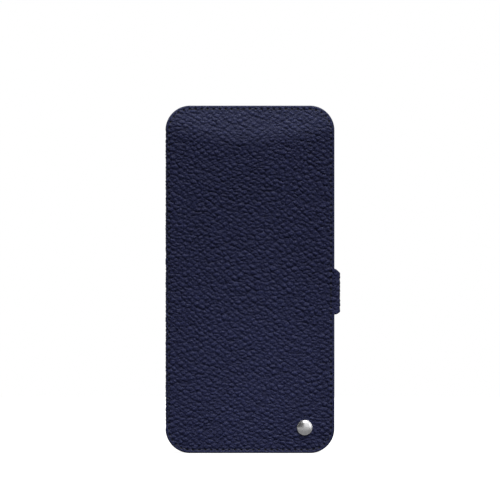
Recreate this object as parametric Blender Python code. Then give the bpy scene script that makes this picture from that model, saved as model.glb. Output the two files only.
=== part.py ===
"""Phone wallet case: a leather folio (back panel, spine, front cover with a
wrap-round closing tab) and a leather-clad tray that holds the phone and lifts
off the back panel's magnets.

World frame: +X to the right seen from the front, +Y away from the front, +Z up.
The case stands closed on the lower edges of its two panels.  The origin is the
centre of the bounding box's bottom face.  Metres throughout.

Inside this file a point is written (u, v, z): u runs from the spine's outer
face to the right, v runs from the back panel's outer face to the front.
"""

import math

import bmesh
import bpy
from mathutils import Vector

for old in list(bpy.data.objects):
    bpy.data.objects.remove(old, do_unlink=True)

# ---------------------------------------------------------------- dimensions
COVER_W = 0.0840          # front cover, spine face to free edge
BACK_W = 0.0834           # back panel, a little narrower than the cover
HEIGHT = 0.1728           # both panels
COVER_R = 0.0122          # cover corners
BACK_R_FREE = 0.0122      # back panel corners on the tab side
BACK_R_SPINE = 0.0132     # back panel corners on the spine side
THICK = 0.0184            # closed, outer leather to outer leather

LEATHER_T = 0.0010        # outer leather over the board
RIM_T = 0.0018            # leather at the stitched rim
RIM_W = 0.0033            # width of that rim
BOARD_T = 0.00065         # stiffening board
LINING_T = 0.0005
LAYER_GAP = 0.0001        # between glued layers
PANEL_T = RIM_T + LAYER_GAP + LINING_T

EDGE_BEVEL = 0.00035      # soft shoulder round the outer leather
STITCH_IN = 0.0017        # thread centre from the panel edge
THREAD_W = 0.0004
THREAD_T = 0.0003
GROOVE_W = 0.0007
GROOVE_D = 0.0005

FOLD_GAP = 0.0003         # between panel and spine solids
SPINE_T = 0.0020          # leather, stiffener and lining together
SPINE_LEATHER_T = 0.0010
SPINE_CORE_T = 0.0004
SPINE_LINING_T = 0.0004

POCKET_T = 0.00045
POCKET_R = 0.0035
NOTE_U0 = 0.0065          # free edge of the note pocket, towards the spine
NOTE_IN = 0.0032          # its inset from the cover's outline
CARD_Z0, CARD_Z1 = 0.0382, 0.1346   # 96 mm: a card is 85.6 mm long
CARD_U1 = 0.0785          # closed end of the card pockets
CARD_OPEN = (0.0100, 0.0190, 0.0280)   # free edges, 9 mm steps
NOTCH_R = 0.0110          # thumb notch radius
NOTCH_D = 0.0042          # and depth

STUD_U, STUD_Z = 0.0692, 0.0127
STUD_D = 0.00775
STUD_PROUD = 0.0011
STUD_STEM_D = 0.0020
WASHER_D = 0.0056

TAB_OUT = 0.00293         # how far the tab stands out past the cover
TAB_Z = 0.0803            # its middle height
TAB_ROOT_UP, TAB_ROOT_DN = 0.01145, 0.01145
TAB_TIP_UP, TAB_TIP_DN = 0.0096, 0.0102
TAB_GAP = 0.0003          # inner face past the cover's edge
TAB_LINING_T = 0.0005
TAB_REAR_V = 0.0008       # where its tip ends, near the rear face
TAB_MAG_V0, TAB_MAG_V1 = 0.0016, 0.0076
TAB_MAG_HALF = 0.0080
TAB_MAG_T = 0.0009

SHELL_U0, SHELL_U1 = 0.0023, 0.0834
SHELL_Z0, SHELL_Z1 = 0.0020, 0.1708
SHELL_R = 0.0135
BAY_U0, BAY_U1 = 0.0039, 0.0816      # phone space inside the walls
BAY_Z0, BAY_Z1 = 0.0043, 0.1676
BAY_R = 0.0118
SHELL_V0 = PANEL_T + FOLD_GAP        # rear face of the tray
SHELL_V1 = 0.0135                    # top of its walls
SKIN_T = 0.0007                      # leather on the tray
CORE_FLOOR_T = 0.0010
TRAY_LINING_T = 0.0004
SHELL_ROUND = 0.0026                 # rolled edge between floor and wall
SIDE_CUT_Z0, SIDE_CUT_Z1 = 0.0494, 0.1236   # side-button cut-out at the outer face
SIDE_CUT_RUN = 0.0062                # length of its scooped ends
BASE_CUT_U0, BASE_CUT_U1 = 0.0188, 0.0668   # open stretch of the lower wall
BASE_CUT_RUN = 0.0040
CAM_SIZE = 0.0410                    # camera opening in the tray floor
CAM_R = 0.0110
CAM_IN = 0.0034                      # from the phone space's corner
PLATE_U0, PLATE_U1 = 0.0150, 0.0700  # steel plate that the magnets hold
PLATE_Z0, PLATE_Z1 = 0.0300, 0.1140
PLATE_T = 0.00035
PLATE_R = 0.0060

MAGNET_D = 0.0140
MAGNET_T = 0.0006
MAGNETS = (
    ("magnet_upper_left", 0.0230, 0.1010),
    ("magnet_upper_right", 0.0620, 0.1010),
    ("magnet_lower_left", 0.0230, 0.0430),
    ("magnet_lower_right", 0.0620, 0.0430),
)
KEEPER_U0, KEEPER_U1 = 0.0763, 0.0822
KEEPER_Z0, KEEPER_Z1 = 0.0708, 0.0898

CORNER_SEGS = 9
ROUND_SEGS = 28

# Folds: the leather turns about the middle of its bend at each outer corner of
# the closed case, so that its length round the bend stays nearly the same.
FOLD_R = 0.0020
FOLD_IN = FOLD_R * (1 - math.sqrt(0.5))
TAB_IN = TAB_OUT * (1 - math.sqrt(0.5))
SPINE_FOLD = (FOLD_IN, FOLD_IN)                          # back panel to spine
COVER_FOLD = (FOLD_IN, THICK - FOLD_IN)                  # spine to front cover
TAB_FOLD = (COVER_W + TAB_OUT - TAB_IN, THICK - TAB_IN)  # cover to tab

MID_U = (COVER_W + TAB_OUT) / 2
MID_V = (THICK + STUD_PROUD) / 2


def world(u, v, z):
    return Vector((u - MID_U, MID_V - v, z))


# ----------------------------------------------------------------- materials
def material(name, colour, rough, metal=0.0):
    m = bpy.data.materials.new(name)
    m.use_nodes = True
    m.diffuse_color = (*colour, 1.0)
    p = m.node_tree.nodes["Principled BSDF"]
    p.inputs["Base Color"].default_value = (*colour, 1.0)
    p.inputs["Roughness"].default_value = rough
    p.inputs["Metallic"].default_value = metal
    return m


NAVY = material("navy_leather", (0.020, 0.022, 0.052), 0.55)
NAVY_SPLIT = material("pocket_leather", (0.024, 0.026, 0.058), 0.60)
SUEDE = material("suede_lining", (0.030, 0.033, 0.062), 0.90)
THREAD = material("navy_thread", (0.016, 0.018, 0.045), 0.70)
BOARD = material("stiffener_board", (0.30, 0.27, 0.22), 0.90)
STEEL = material("spring_steel", (0.45, 0.46, 0.48), 0.35, 1.0)
NICKEL = material("nickel_magnet", (0.66, 0.65, 0.62), 0.25, 1.0)
POLISHED = material("polished_stud", (0.80, 0.80, 0.82), 0.10, 1.0)
PLASTIC = material("tray_plastic", (0.018, 0.019, 0.024), 0.45)


# ------------------------------------------------------------------- outlines
def round_rect(u0, u1, z0, z1, r_left, r_right=None, inset=0.0):
    """Corner points of a rounded rectangle, anticlockwise from the lower left."""
    if r_right is None:
        r_right = r_left
    u0, u1, z0, z1 = u0 + inset, u1 - inset, z0 + inset, z1 - inset
    rl, rr = max(r_left - inset, 0.0003), max(r_right - inset, 0.0003)
    spots = (
        (u0 + rl, z0 + rl, rl, math.pi),
        (u1 - rr, z0 + rr, rr, 1.5 * math.pi),
        (u1 - rr, z1 - rr, rr, 0.0),
        (u0 + rl, z1 - rl, rl, 0.5 * math.pi),
    )
    pts = []
    for cu, cz, r, start in spots:
        for k in range(CORNER_SEGS + 1):
            a = start + 0.5 * math.pi * k / CORNER_SEGS
            pts.append((cu + r * math.cos(a), cz + r * math.sin(a)))
    return pts


def cover_outline(inset=0.0):
    return round_rect(0.0, COVER_W, 0.0, HEIGHT, COVER_R, COVER_R, inset)


def back_outline(inset=0.0):
    return round_rect(0.0, BACK_W, 0.0, HEIGHT, BACK_R_SPINE, BACK_R_FREE, inset)


def bay_outline(grow=0.0):
    return round_rect(BAY_U0, BAY_U1, BAY_Z0, BAY_Z1, BAY_R, None, -grow)


def tray_outline(inset=0.0):
    return round_rect(SHELL_U0, SHELL_U1, SHELL_Z0, SHELL_Z1, SHELL_R, None, inset)


# --------------------------------------------------------------------- solids
def finish(bm, name, mat, origin=None, smooth=True):
    bmesh.ops.recalc_face_normals(bm, faces=bm.faces)
    if origin is not None:
        bmesh.ops.translate(bm, vec=-origin, verts=bm.verts)
    me = bpy.data.meshes.new(name)
    bm.to_mesh(me)
    bm.free()
    ob = bpy.data.objects.new(name, me)
    bpy.context.scene.collection.objects.link(ob)
    if origin is not None:
        ob.location = origin
    if mat is not None:
        me.materials.append(mat)
    if smooth:
        me.shade_smooth()
        me.set_sharp_from_angle(angle=math.radians(35))
    return ob


def loft(name, rings, mat, closed=False, origin=None):
    """One body through equal-length rings of (u, v, z): capped at both ends, or joined into a loop."""
    bm = bmesh.new()
    rows = [[bm.verts.new(world(*p)) for p in ring] for ring in rings]
    n = len(rows[0])
    pairs = list(zip(rows, rows[1:]))
    if closed:
        pairs.append((rows[-1], rows[0]))
    for a, b in pairs:
        for i in range(n):
            j = (i + 1) % n
            bm.faces.new((a[i], a[j], b[j], b[i]))
    if not closed:
        bm.faces.new(rows[0])
        bm.faces.new(list(reversed(rows[-1])))
    return finish(bm, name, mat, origin)


def sheet_rings(steps, outline):
    """Rings from (v, inset) steps round one outline."""
    return [[(u, v, z) for u, z in outline(inset)] for v, inset in steps]


def slab(name, pts, v0, v1, mat, origin=None):
    """A flat piece of the outline pts, between depths v0 and v1."""
    return loft(
        name,
        [[(u, v0, z) for u, z in pts], [(u, v1, z) for u, z in pts]],
        mat,
        origin=origin,
    )


def disc_points(u, z, d, segs=ROUND_SEGS):
    return [
        (
            u + 0.5 * d * math.cos(2 * math.pi * k / segs),
            z + 0.5 * d * math.sin(2 * math.pi * k / segs),
        )
        for k in range(segs)
    ]


def cut(ob, cutter):
    """Takes the cutter's space out of a solid; the cutter is a guide, not a piece."""
    cutter.hide_render = True
    cutter.display_type = "WIRE"
    m = ob.modifiers.new("cut_" + cutter.name, "BOOLEAN")
    m.operation = "DIFFERENCE"
    m.object = cutter
    return m


def pivot(name, u, v, parent=None):
    """An empty on a fold's axis; the pieces that turn about it are its children."""
    e = bpy.data.objects.new(name, None)
    e.empty_display_size = 0.01
    e.location = world(u, v, 0.0)
    bpy.context.scene.collection.objects.link(e)
    if parent is not None:
        bpy.context.view_layer.update()
        e.parent = parent
        e.matrix_parent_inverse = parent.matrix_world.inverted()
    return e


def hang(parent, *obs):
    bpy.context.view_layer.update()
    for ob in obs:
        ob.parent = parent
        ob.matrix_parent_inverse = parent.matrix_world.inverted()


# -------------------------------------------------- panels (both build alike)
def panel_leather(name, outline, depth):
    """Outer leather: flat face with a stitch groove, soft shoulder, thick rim and a recess for the board. depth maps distance from the outer face to v."""
    b = EDGE_BEVEL
    steps = [
        (0.0, STITCH_IN + GROOVE_W / 2),
        (GROOVE_D, STITCH_IN + GROOVE_W / 2),
        (GROOVE_D, STITCH_IN - GROOVE_W / 2),
        (0.0, STITCH_IN - GROOVE_W / 2),
        (0.0, b),
        (0.29 * b, 0.29 * b),
        (b, 0.0),
        (RIM_T, 0.0),
        (RIM_T, RIM_W),
        (LEATHER_T, RIM_W),
    ]
    return loft(name, sheet_rings([(depth(d), i) for d, i in steps], outline), NAVY)


def panel_thread(name, outline, depth):
    a, c = STITCH_IN - THREAD_W / 2, STITCH_IN + THREAD_W / 2
    top = 0.00008
    steps = [
        (top, a),
        (top + THREAD_T, a),
        (top + THREAD_T, c),
        (top, c),
    ]
    return loft(
        name, sheet_rings([(depth(d), i) for d, i in steps], outline), THREAD, closed=True
    )


def panel_board(name, outline, depth):
    d0 = LEATHER_T + LAYER_GAP
    return loft(
        name,
        sheet_rings(
            [(depth(d0), RIM_W + 0.0003), (depth(d0 + BOARD_T), RIM_W + 0.0003)], outline
        ),
        BOARD,
    )


def panel_lining(name, outline, depth):
    d0 = RIM_T + LAYER_GAP
    return loft(
        name,
        sheet_rings(
            [
                (depth(d0), 0.0),
                (depth(d0 + LINING_T - 0.0002), 0.0),
                (depth(d0 + LINING_T), 0.0002),
            ],
            outline,
        ),
        SUEDE,
    )


def from_back(d):
    return d


def from_front(d):
    return THICK - d


# ----------------------------------------------------------------- back panel
back_leather = panel_leather("back_leather", back_outline, from_back)
back_stitching = panel_thread("back_stitching", back_outline, from_back)
back_board = panel_board("back_board", back_outline, from_back)
back_lining = panel_lining("back_lining", back_outline, from_back)

for name, u, z in MAGNETS:
    slab(
        name,
        disc_points(u, z, MAGNET_D),
        LEATHER_T + LAYER_GAP,
        LEATHER_T + LAYER_GAP + MAGNET_T,
        NICKEL,
        origin=world(u, LEATHER_T + LAYER_GAP, z),
    )
    cut(
        back_board,
        slab("hole_" + name, disc_points(u, z, MAGNET_D + 0.0006), 0.0, 0.004, None),
    )

tab_keeper = slab(
    "tab_keeper",
    round_rect(KEEPER_U0, KEEPER_U1, KEEPER_Z0, KEEPER_Z1, 0.0008),
    LEATHER_T + LAYER_GAP,
    LEATHER_T + LAYER_GAP + MAGNET_T,
    STEEL,
)
keeper_room = round_rect(
    KEEPER_U0 - 0.0003, KEEPER_U1 + 0.0003, KEEPER_Z0 - 0.0003, KEEPER_Z1 + 0.0003, 0.0010
)
cut(back_leather, slab("room_keeper_leather", keeper_room, LEATHER_T, 0.004, None))
cut(back_board, slab("room_keeper_board", keeper_room, 0.0, 0.004, None))

# ---------------------------------------------------------------------- spine
spine_axis = pivot("spine_fold", *SPINE_FOLD)
SPINE_V0, SPINE_V1 = PANEL_T + FOLD_GAP, THICK - PANEL_T - FOLD_GAP
SPINE_Z0, SPINE_Z1 = BACK_R_SPINE, HEIGHT - BACK_R_SPINE


def spine_layer(name, u0, u1, mat, inset, bevel=0.0):
    """A strip of the spine between widths u0 and u1; its ends are rounded in the spine's own plane."""
    v0, v1 = SPINE_V0 + inset, SPINE_V1 - inset
    z0, z1 = SPINE_Z0 + inset, SPINE_Z1 - inset

    def face(u, i):
        # round_rect gives pairs along its first two axes, used here as (v, z)
        return [(u, v, z) for v, z in round_rect(v0, v1, z0, z1, 0.0022, None, i)]

    rings = [face(u0, bevel)]
    if bevel:
        rings.append(face(u0 + 0.29 * bevel, 0.29 * bevel))
        rings.append(face(u0 + bevel, 0.0))
    rings.append(face(u1, 0.0))
    return loft(name, rings, mat)


spine_leather = spine_layer("spine_leather", 0.0, SPINE_LEATHER_T, NAVY, 0.0, EDGE_BEVEL)
u = SPINE_LEATHER_T + LAYER_GAP
spine_stiffener = spine_layer("spine_stiffener", u, u + SPINE_CORE_T, BOARD, 0.0012)
u += SPINE_CORE_T + LAYER_GAP
spine_lining = spine_layer("spine_lining", u, u + SPINE_LINING_T, SUEDE, 0.0)

# ---------------------------------------------------------------- front cover
cover_axis = pivot("cover_fold", *COVER_FOLD, parent=spine_axis)
cover_leather = panel_leather("cover_leather", cover_outline, from_front)
cover_stitching = panel_thread("cover_stitching", cover_outline, from_front)
cover_board = panel_board("cover_board", cover_outline, from_front)
cover_lining = panel_lining("cover_lining", cover_outline, from_front)


def pocket_outline(u0, u1, z0, z1, r_open, r_closed, notch=True):
    """A pocket panel: rounded corners, and a thumb notch in the free edge at u0."""
    pts = round_rect(u0, u1, z0, z1, r_open, r_closed)
    if not notch:
        return pts
    zc = 0.5 * (z0 + z1)
    reach = math.acos(1.0 - NOTCH_D / NOTCH_R)
    cu = u0 + NOTCH_D - NOTCH_R
    steps = 10
    bite = [
        (
            cu + NOTCH_R * math.cos(reach * (1 - 2 * k / steps)),
            zc + NOTCH_R * math.sin(reach * (1 - 2 * k / steps)),
        )
        for k in range(steps + 1)
    ]
    # The free edge runs down from the upper left corner to the lower left one.
    return pts + bite


level = PANEL_T + LAYER_GAP


def pocket(name, outline, mat):
    """Stacks one more pocket panel on the cover's inner face."""
    global level
    ob = slab(name, outline, from_front(level), from_front(level + POCKET_T), mat)
    level += POCKET_T + LAYER_GAP
    return ob


note_pocket = pocket(
    "note_pocket",
    pocket_outline(
        NOTE_U0, COVER_W - NOTE_IN, NOTE_IN, HEIGHT - NOTE_IN, 0.0030, COVER_R - NOTE_IN
    ),
    NAVY_SPLIT,
)
card_pockets = [
    pocket(
        name,
        pocket_outline(u0, CARD_U1, CARD_Z0, CARD_Z1, 0.0012, POCKET_R),
        NAVY_SPLIT,
    )
    for name, u0 in zip(
        ("card_pocket_rear", "card_pocket_middle", "card_pocket_front"), CARD_OPEN
    )
]

# Stud: a turned dome with a stem through the leather, peened over a washer that
# lies in a hole of the board.
stem_end = LEATHER_T + LAYER_GAP + BOARD_T - 0.00012


def turned(name, profile, mat, origin):
    """A piece of revolution about the stud's axis, from (radius, depth) steps down to the axis at both ends."""
    bm = bmesh.new()
    rows = []
    for r, d in profile:
        if r == 0.0:
            rows.append([bm.verts.new(world(STUD_U, from_front(d), STUD_Z))])
        else:
            rows.append(
                [
                    bm.verts.new(
                        world(
                            STUD_U + r * math.cos(2 * math.pi * k / ROUND_SEGS),
                            from_front(d),
                            STUD_Z + r * math.sin(2 * math.pi * k / ROUND_SEGS),
                        )
                    )
                    for k in range(ROUND_SEGS)
                ]
            )
    for a, b in zip(rows, rows[1:]):
        for i in range(ROUND_SEGS):
            j = (i + 1) % ROUND_SEGS
            if len(a) == 1:
                bm.faces.new((a[0], b[j], b[i]))
            elif len(b) == 1:
                bm.faces.new((a[i], a[j], b[0]))
            else:
                bm.faces.new((a[i], a[j], b[j], b[i]))
    return finish(bm, name, mat, origin)


head_r = STUD_D / 2
dome = [(0.0, -STUD_PROUD)]
for k in range(1, 8):
    a = 0.5 * math.pi * k / 7
    dome.append(
        (head_r * math.sin(a), -0.0003 - (STUD_PROUD - 0.0003) * math.cos(a))
    )
dome += [
    (head_r, -0.00012),
    (head_r - 0.00012, -0.0001),
    (STUD_STEM_D / 2, -0.0001),
    (STUD_STEM_D / 2, stem_end),
    (0.0, stem_end),
]
stud_at = world(STUD_U, THICK, STUD_Z)
stud = turned("stud", dome, POLISHED, stud_at)
cut(
    cover_leather,
    slab(
        "hole_stud_leather",
        disc_points(STUD_U, STUD_Z, STUD_STEM_D + 0.0006),
        THICK - 0.003,
        THICK + 0.002,
        None,
    ),
)
cut(
    cover_board,
    slab(
        "hole_stud_board",
        disc_points(STUD_U, STUD_Z, WASHER_D + 0.0006),
        THICK - 0.003,
        THICK,
        None,
    ),
)
w0, w1 = LEATHER_T + LAYER_GAP, LEATHER_T + LAYER_GAP + BOARD_T - 0.0001
washer_in, washer_out = STUD_STEM_D / 2 + 0.0003, WASHER_D / 2
stud_washer = loft(
    "stud_washer",
    [
        [(u, from_front(d), z) for u, z in disc_points(STUD_U, STUD_Z, 2 * r)]
        for r, d in (
            (washer_in, w0),
            (washer_in, w1),
            (washer_out, w1),
            (washer_out, w0),
        )
    ],
    STEEL,
    closed=True,
    origin=stud_at,
)

# ------------------------------------------------------------------------ tab
# The tongue continues the cover's leather round the free edge.  Its solids
# start below the bend, which leaves the bend free to open.
tab_axis = pivot("tab_fold", *TAB_FOLD, parent=cover_axis)


def tab_section(u_in, u_out, shrink=0.0, plane_in=None):
    """The tab's outline across its length, as (u, z): full height at the cover's edge, tapering outwards, with rounded outer corners."""
    span = TAB_OUT

    def up(u):
        t = (u - COVER_W) / span
        return TAB_Z + TAB_ROOT_UP + (TAB_TIP_UP - TAB_ROOT_UP) * t - shrink

    def down(u):
        t = (u - COVER_W) / span
        return TAB_Z - TAB_ROOT_DN + (TAB_ROOT_DN - TAB_TIP_DN) * t + shrink

    r = min(0.0007, 0.4 * (u_out - u_in))
    pts = [(u_in, down(u_in))]
    for k in range(5):
        a = -0.5 * math.pi + 0.5 * math.pi * k / 4
        pts.append(
            (u_out - r + r * math.cos(a), down(u_out - r) + r + r * math.sin(a))
        )
    for k in range(5):
        a = 0.5 * math.pi * k / 4
        pts.append((u_out - r + r * math.cos(a), up(u_out - r) - r + r * math.sin(a)))
    pts.append((u_in, up(u_in)))
    return pts


tab_top = THICK - TAB_OUT
tab_lining_u = COVER_W + TAB_GAP
tab_leather_u = tab_lining_u + TAB_LINING_T + LAYER_GAP
tab_out_u = COVER_W + TAB_OUT
tab_leather = loft(
    "tab_leather",
    [
        [(u, tab_top, z) for u, z in tab_section(tab_leather_u, tab_out_u)],
        [
            (u, TAB_REAR_V + 0.0009, z)
            for u, z in tab_section(tab_leather_u, tab_out_u)
        ],
        [
            (u, TAB_REAR_V + 0.0003, z)
            for u, z in tab_section(tab_leather_u, tab_out_u - 0.00022, 0.00022)
        ],
        [
            (u, TAB_REAR_V, z)
            for u, z in tab_section(tab_leather_u, tab_out_u - 0.0008, 0.0008)
        ],
    ],
    NAVY,
)
tab_lining = loft(
    "tab_lining",
    [
        [
            (u, v, z)
            for u, z in tab_section(tab_lining_u, tab_lining_u + TAB_LINING_T, 0.0)
        ]
        for v in (tab_top, TAB_REAR_V)
    ],
    SUEDE,
)


def bar(name, u0, u1, v0, v1, z0, z1, r, mat):
    """A flat bar standing in the v-z plane."""
    pts = round_rect(v0, v1, z0, z1, r)
    return loft(
        name, [[(u0, v, z) for v, z in pts], [(u1, v, z) for v, z in pts]], mat
    )


tab_magnet = bar(
    "tab_magnet",
    tab_leather_u + 0.0001,
    tab_leather_u + 0.0001 + TAB_MAG_T,
    TAB_MAG_V0,
    TAB_MAG_V1,
    TAB_Z - TAB_MAG_HALF,
    TAB_Z + TAB_MAG_HALF,
    0.0006,
    NICKEL,
)
cut(
    tab_leather,
    bar(
        "room_tab_magnet",
        tab_leather_u - 0.001,
        tab_leather_u + TAB_MAG_T + 0.0002,
        TAB_MAG_V0 - 0.0003,
        TAB_MAG_V1 + 0.0003,
        TAB_Z - TAB_MAG_HALF - 0.0003,
        TAB_Z + TAB_MAG_HALF + 0.0003,
        0.0008,
        None,
    ),
)

# ----------------------------------------------------------------------- tray
shell_axis = pivot("shell_slide", (SHELL_U0 + SHELL_U1) / 2, SHELL_V0)


def roll(v_from, r, steps=4):
    """(v, inset) steps of a quarter round from a flat floor to a wall."""
    out = []
    for k in range(steps + 1):
        a = 0.5 * math.pi * k / steps
        out.append((v_from + r - r * math.cos(a), r - r * math.sin(a)))
    return out


def tray_ring(v, inset):
    return [(u, v, z) for u, z in tray_outline(inset)]


skin_rings = [tray_ring(v, i) for v, i in roll(SHELL_V0, SHELL_ROUND)]
skin_rings += [
    tray_ring(SHELL_V1 - 0.0004, 0.0),
    tray_ring(SHELL_V1 - 0.00012, 0.00012),
    tray_ring(SHELL_V1, 0.0004),
]
# The leather turns over the top of the core's wall, to the edge of the phone space.
lip_v = SHELL_V1 - SKIN_T
skin_rings += [
    [(u, SHELL_V1, z) for u, z in bay_outline(0.0)],
    [(u, lip_v, z) for u, z in bay_outline(0.0)],
    tray_ring(lip_v, SKIN_T),
]
skin_rings += [
    tray_ring(v, i + SKIN_T)
    for v, i in reversed(roll(SHELL_V0 + SKIN_T, SHELL_ROUND - SKIN_T))
]
shell_leather = loft("shell_leather", skin_rings, NAVY)

core_v0 = SHELL_V0 + SKIN_T + LAYER_GAP
core_in = SKIN_T + LAYER_GAP
core_floor = core_v0 + CORE_FLOOR_T
core_rings = [tray_ring(v, i + core_in) for v, i in roll(core_v0, SHELL_ROUND - core_in)]
core_rings += [
    tray_ring(lip_v - LAYER_GAP, core_in),
    [(u, lip_v - LAYER_GAP, z) for u, z in bay_outline(0.0)],
    [(u, core_floor, z) for u, z in bay_outline(0.0)],
]
shell_core = loft("shell_core", core_rings, PLASTIC)

lining_v0 = core_floor + LAYER_GAP
shell_lining = loft(
    "shell_lining",
    [
        [(u, v, z) for u, z in bay_outline(-0.0003)]
        for v in (lining_v0, lining_v0 + TRAY_LINING_T)
    ],
    SUEDE,
)

shell_plate = slab(
    "shell_steel_plate",
    round_rect(PLATE_U0, PLATE_U1, PLATE_Z0, PLATE_Z1, PLATE_R),
    core_v0,
    core_v0 + PLATE_T,
    STEEL,
)
cut(
    shell_core,
    slab(
        "room_plate",
        round_rect(
            PLATE_U0 - 0.0003,
            PLATE_U1 + 0.0003,
            PLATE_Z0 - 0.0003,
            PLATE_Z1 + 0.0003,
            PLATE_R + 0.0003,
        ),
        core_v0 - 0.0003,
        core_v0 + PLATE_T + 0.0001,
        None,
    ),
)


# Cut-outs through the walls: scooped ends, seen from the front.
def side_cut_points(back_off):
    """Side-button cut-out as (u, z): from the outer face it scoops in to the phone space's edge. back_off opens it wider for an inner layer."""
    out = SHELL_U1 + 0.004
    flat = BAY_U1 - back_off
    reach = SHELL_U1 - flat
    pts = [(out, SIDE_CUT_Z0 - back_off), (SHELL_U1, SIDE_CUT_Z0 - back_off)]
    n = 6
    for k in range(1, n + 1):
        a = 0.5 * math.pi * k / n
        pts.append(
            (
                SHELL_U1 - reach * math.sin(a),
                SIDE_CUT_Z0 - back_off + SIDE_CUT_RUN * (1 - math.cos(a)),
            )
        )
    for k in range(n, 0, -1):
        a = 0.5 * math.pi * k / n
        pts.append(
            (
                SHELL_U1 - reach * math.sin(a),
                SIDE_CUT_Z1 + back_off - SIDE_CUT_RUN * (1 - math.cos(a)),
            )
        )
    pts += [(SHELL_U1, SIDE_CUT_Z1 + back_off), (out, SIDE_CUT_Z1 + back_off)]
    return pts


def base_cut_points(back_off):
    """Open stretch of the lower wall as (u, z), scooped at both ends."""
    out = SHELL_Z0 - 0.0015
    flat = BAY_Z0 + back_off
    reach = flat - SHELL_Z0
    pts = [(BASE_CUT_U1 + back_off, out), (BASE_CUT_U1 + back_off, SHELL_Z0)]
    n = 5
    for k in range(1, n + 1):
        a = 0.5 * math.pi * k / n
        pts.append(
            (
                BASE_CUT_U1 + back_off - BASE_CUT_RUN * (1 - math.cos(a)),
                SHELL_Z0 + reach * math.sin(a),
            )
        )
    for k in range(n, 0, -1):
        a = 0.5 * math.pi * k / n
        pts.append(
            (
                BASE_CUT_U0 - back_off + BASE_CUT_RUN * (1 - math.cos(a)),
                SHELL_Z0 + reach * math.sin(a),
            )
        )
    pts += [(BASE_CUT_U0 - back_off, SHELL_Z0), (BASE_CUT_U0 - back_off, out)]
    return pts


def camera_points(grow):
    u1, z1 = BAY_U1 - CAM_IN, BAY_Z1 - CAM_IN
    return round_rect(u1 - CAM_SIZE, u1, z1 - CAM_SIZE, z1, CAM_R, None, -grow)


for ob, back_off in ((shell_leather, 0.0), (shell_core, 0.0002)):
    tag = ob.name
    cut(
        ob,
        slab("side_cut_" + tag, side_cut_points(back_off), SHELL_V0 - 0.001, SHELL_V1 + 0.001, None),
    )
    cut(
        ob,
        slab("base_cut_" + tag, base_cut_points(back_off), SHELL_V0 - 0.001, SHELL_V1 + 0.001, None),
    )
    cut(
        ob,
        slab("camera_cut_" + tag, camera_points(back_off * 2), SHELL_V0 - 0.001, SHELL_V0 + 0.004, None),
    )
cut(
    shell_lining,
    slab("camera_cut_lining", camera_points(0.0006), SHELL_V0 - 0.001, SHELL_V0 + 0.004, None),
)

# --------------------------------------------------------- what turns with what
hang(spine_axis, spine_leather, spine_stiffener, spine_lining)
hang(
    cover_axis,
    cover_leather,
    cover_stitching,
    cover_board,
    cover_lining,
    note_pocket,
    *card_pockets,
    stud,
    stud_washer,
)
hang(tab_axis, tab_leather, tab_lining, tab_magnet)
hang(shell_axis, shell_leather, shell_core, shell_lining, shell_plate)
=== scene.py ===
import math

import bmesh
import bpy
import numpy as np
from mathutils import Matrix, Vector, kdtree
from mathutils.geometry import delaunay_2d_cdt


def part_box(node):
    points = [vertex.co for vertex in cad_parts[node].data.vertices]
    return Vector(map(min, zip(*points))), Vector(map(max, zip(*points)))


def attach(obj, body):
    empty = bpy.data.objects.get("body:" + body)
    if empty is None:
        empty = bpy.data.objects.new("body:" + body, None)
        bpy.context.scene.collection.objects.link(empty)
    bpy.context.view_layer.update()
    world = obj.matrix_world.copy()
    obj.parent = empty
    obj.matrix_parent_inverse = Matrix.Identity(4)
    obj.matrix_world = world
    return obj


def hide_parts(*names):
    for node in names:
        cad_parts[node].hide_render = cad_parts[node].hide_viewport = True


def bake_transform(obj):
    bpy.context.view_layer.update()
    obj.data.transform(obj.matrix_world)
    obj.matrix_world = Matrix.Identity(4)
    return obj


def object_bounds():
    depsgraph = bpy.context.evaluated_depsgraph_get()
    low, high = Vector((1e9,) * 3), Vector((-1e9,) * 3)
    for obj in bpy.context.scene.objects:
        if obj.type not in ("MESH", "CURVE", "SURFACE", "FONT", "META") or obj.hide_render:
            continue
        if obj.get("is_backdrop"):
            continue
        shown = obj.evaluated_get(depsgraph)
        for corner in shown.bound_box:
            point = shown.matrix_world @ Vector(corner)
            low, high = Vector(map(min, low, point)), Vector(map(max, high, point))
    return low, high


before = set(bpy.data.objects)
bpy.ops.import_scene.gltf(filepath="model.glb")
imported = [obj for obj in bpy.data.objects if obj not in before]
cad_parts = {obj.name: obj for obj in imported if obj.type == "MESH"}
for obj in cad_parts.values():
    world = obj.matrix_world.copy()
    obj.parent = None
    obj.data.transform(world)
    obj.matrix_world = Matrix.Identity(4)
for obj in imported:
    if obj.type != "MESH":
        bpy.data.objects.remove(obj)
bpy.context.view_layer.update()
scene = bpy.context.scene

# Everything below is worked out in millimetres in (u, v, z): u runs from the
# spine's outer face to the right, v from the back panel's outer face to the front.
cov_lo, cov_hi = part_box("cover_leather")
bak_lo, bak_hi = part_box("back_leather")
tab_lo, tab_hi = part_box("tab_leather")
spi_lo, spi_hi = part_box("spine_leather")
stud_lo, stud_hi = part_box("stud")
U_OFF = -cov_lo[0] * 1000
V_OFF = bak_hi[1] * 1000
T = (bak_hi[1] - cov_lo[1]) * 1000          # closed thickness
W_COVER = (cov_hi[0] - cov_lo[0]) * 1000
W_BACK = (bak_hi[0] - bak_lo[0]) * 1000
H = (cov_hi[2] - cov_lo[2]) * 1000
TAB_R = (tab_hi[0] - cov_hi[0]) * 1000      # how far the tab stands out
R_COVER, R_BACK_SPINE = 12.2, 13.2
STITCH_IN = 1.7
RIM_T, LEATHER_T, RIM_W = 1.8, 1.0, 3.3
FOLD_R = 2.0


def to_world(u, v, z):
    return np.stack([(u - U_OFF) / 1000, (V_OFF - v) / 1000, z / 1000], 1)


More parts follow.
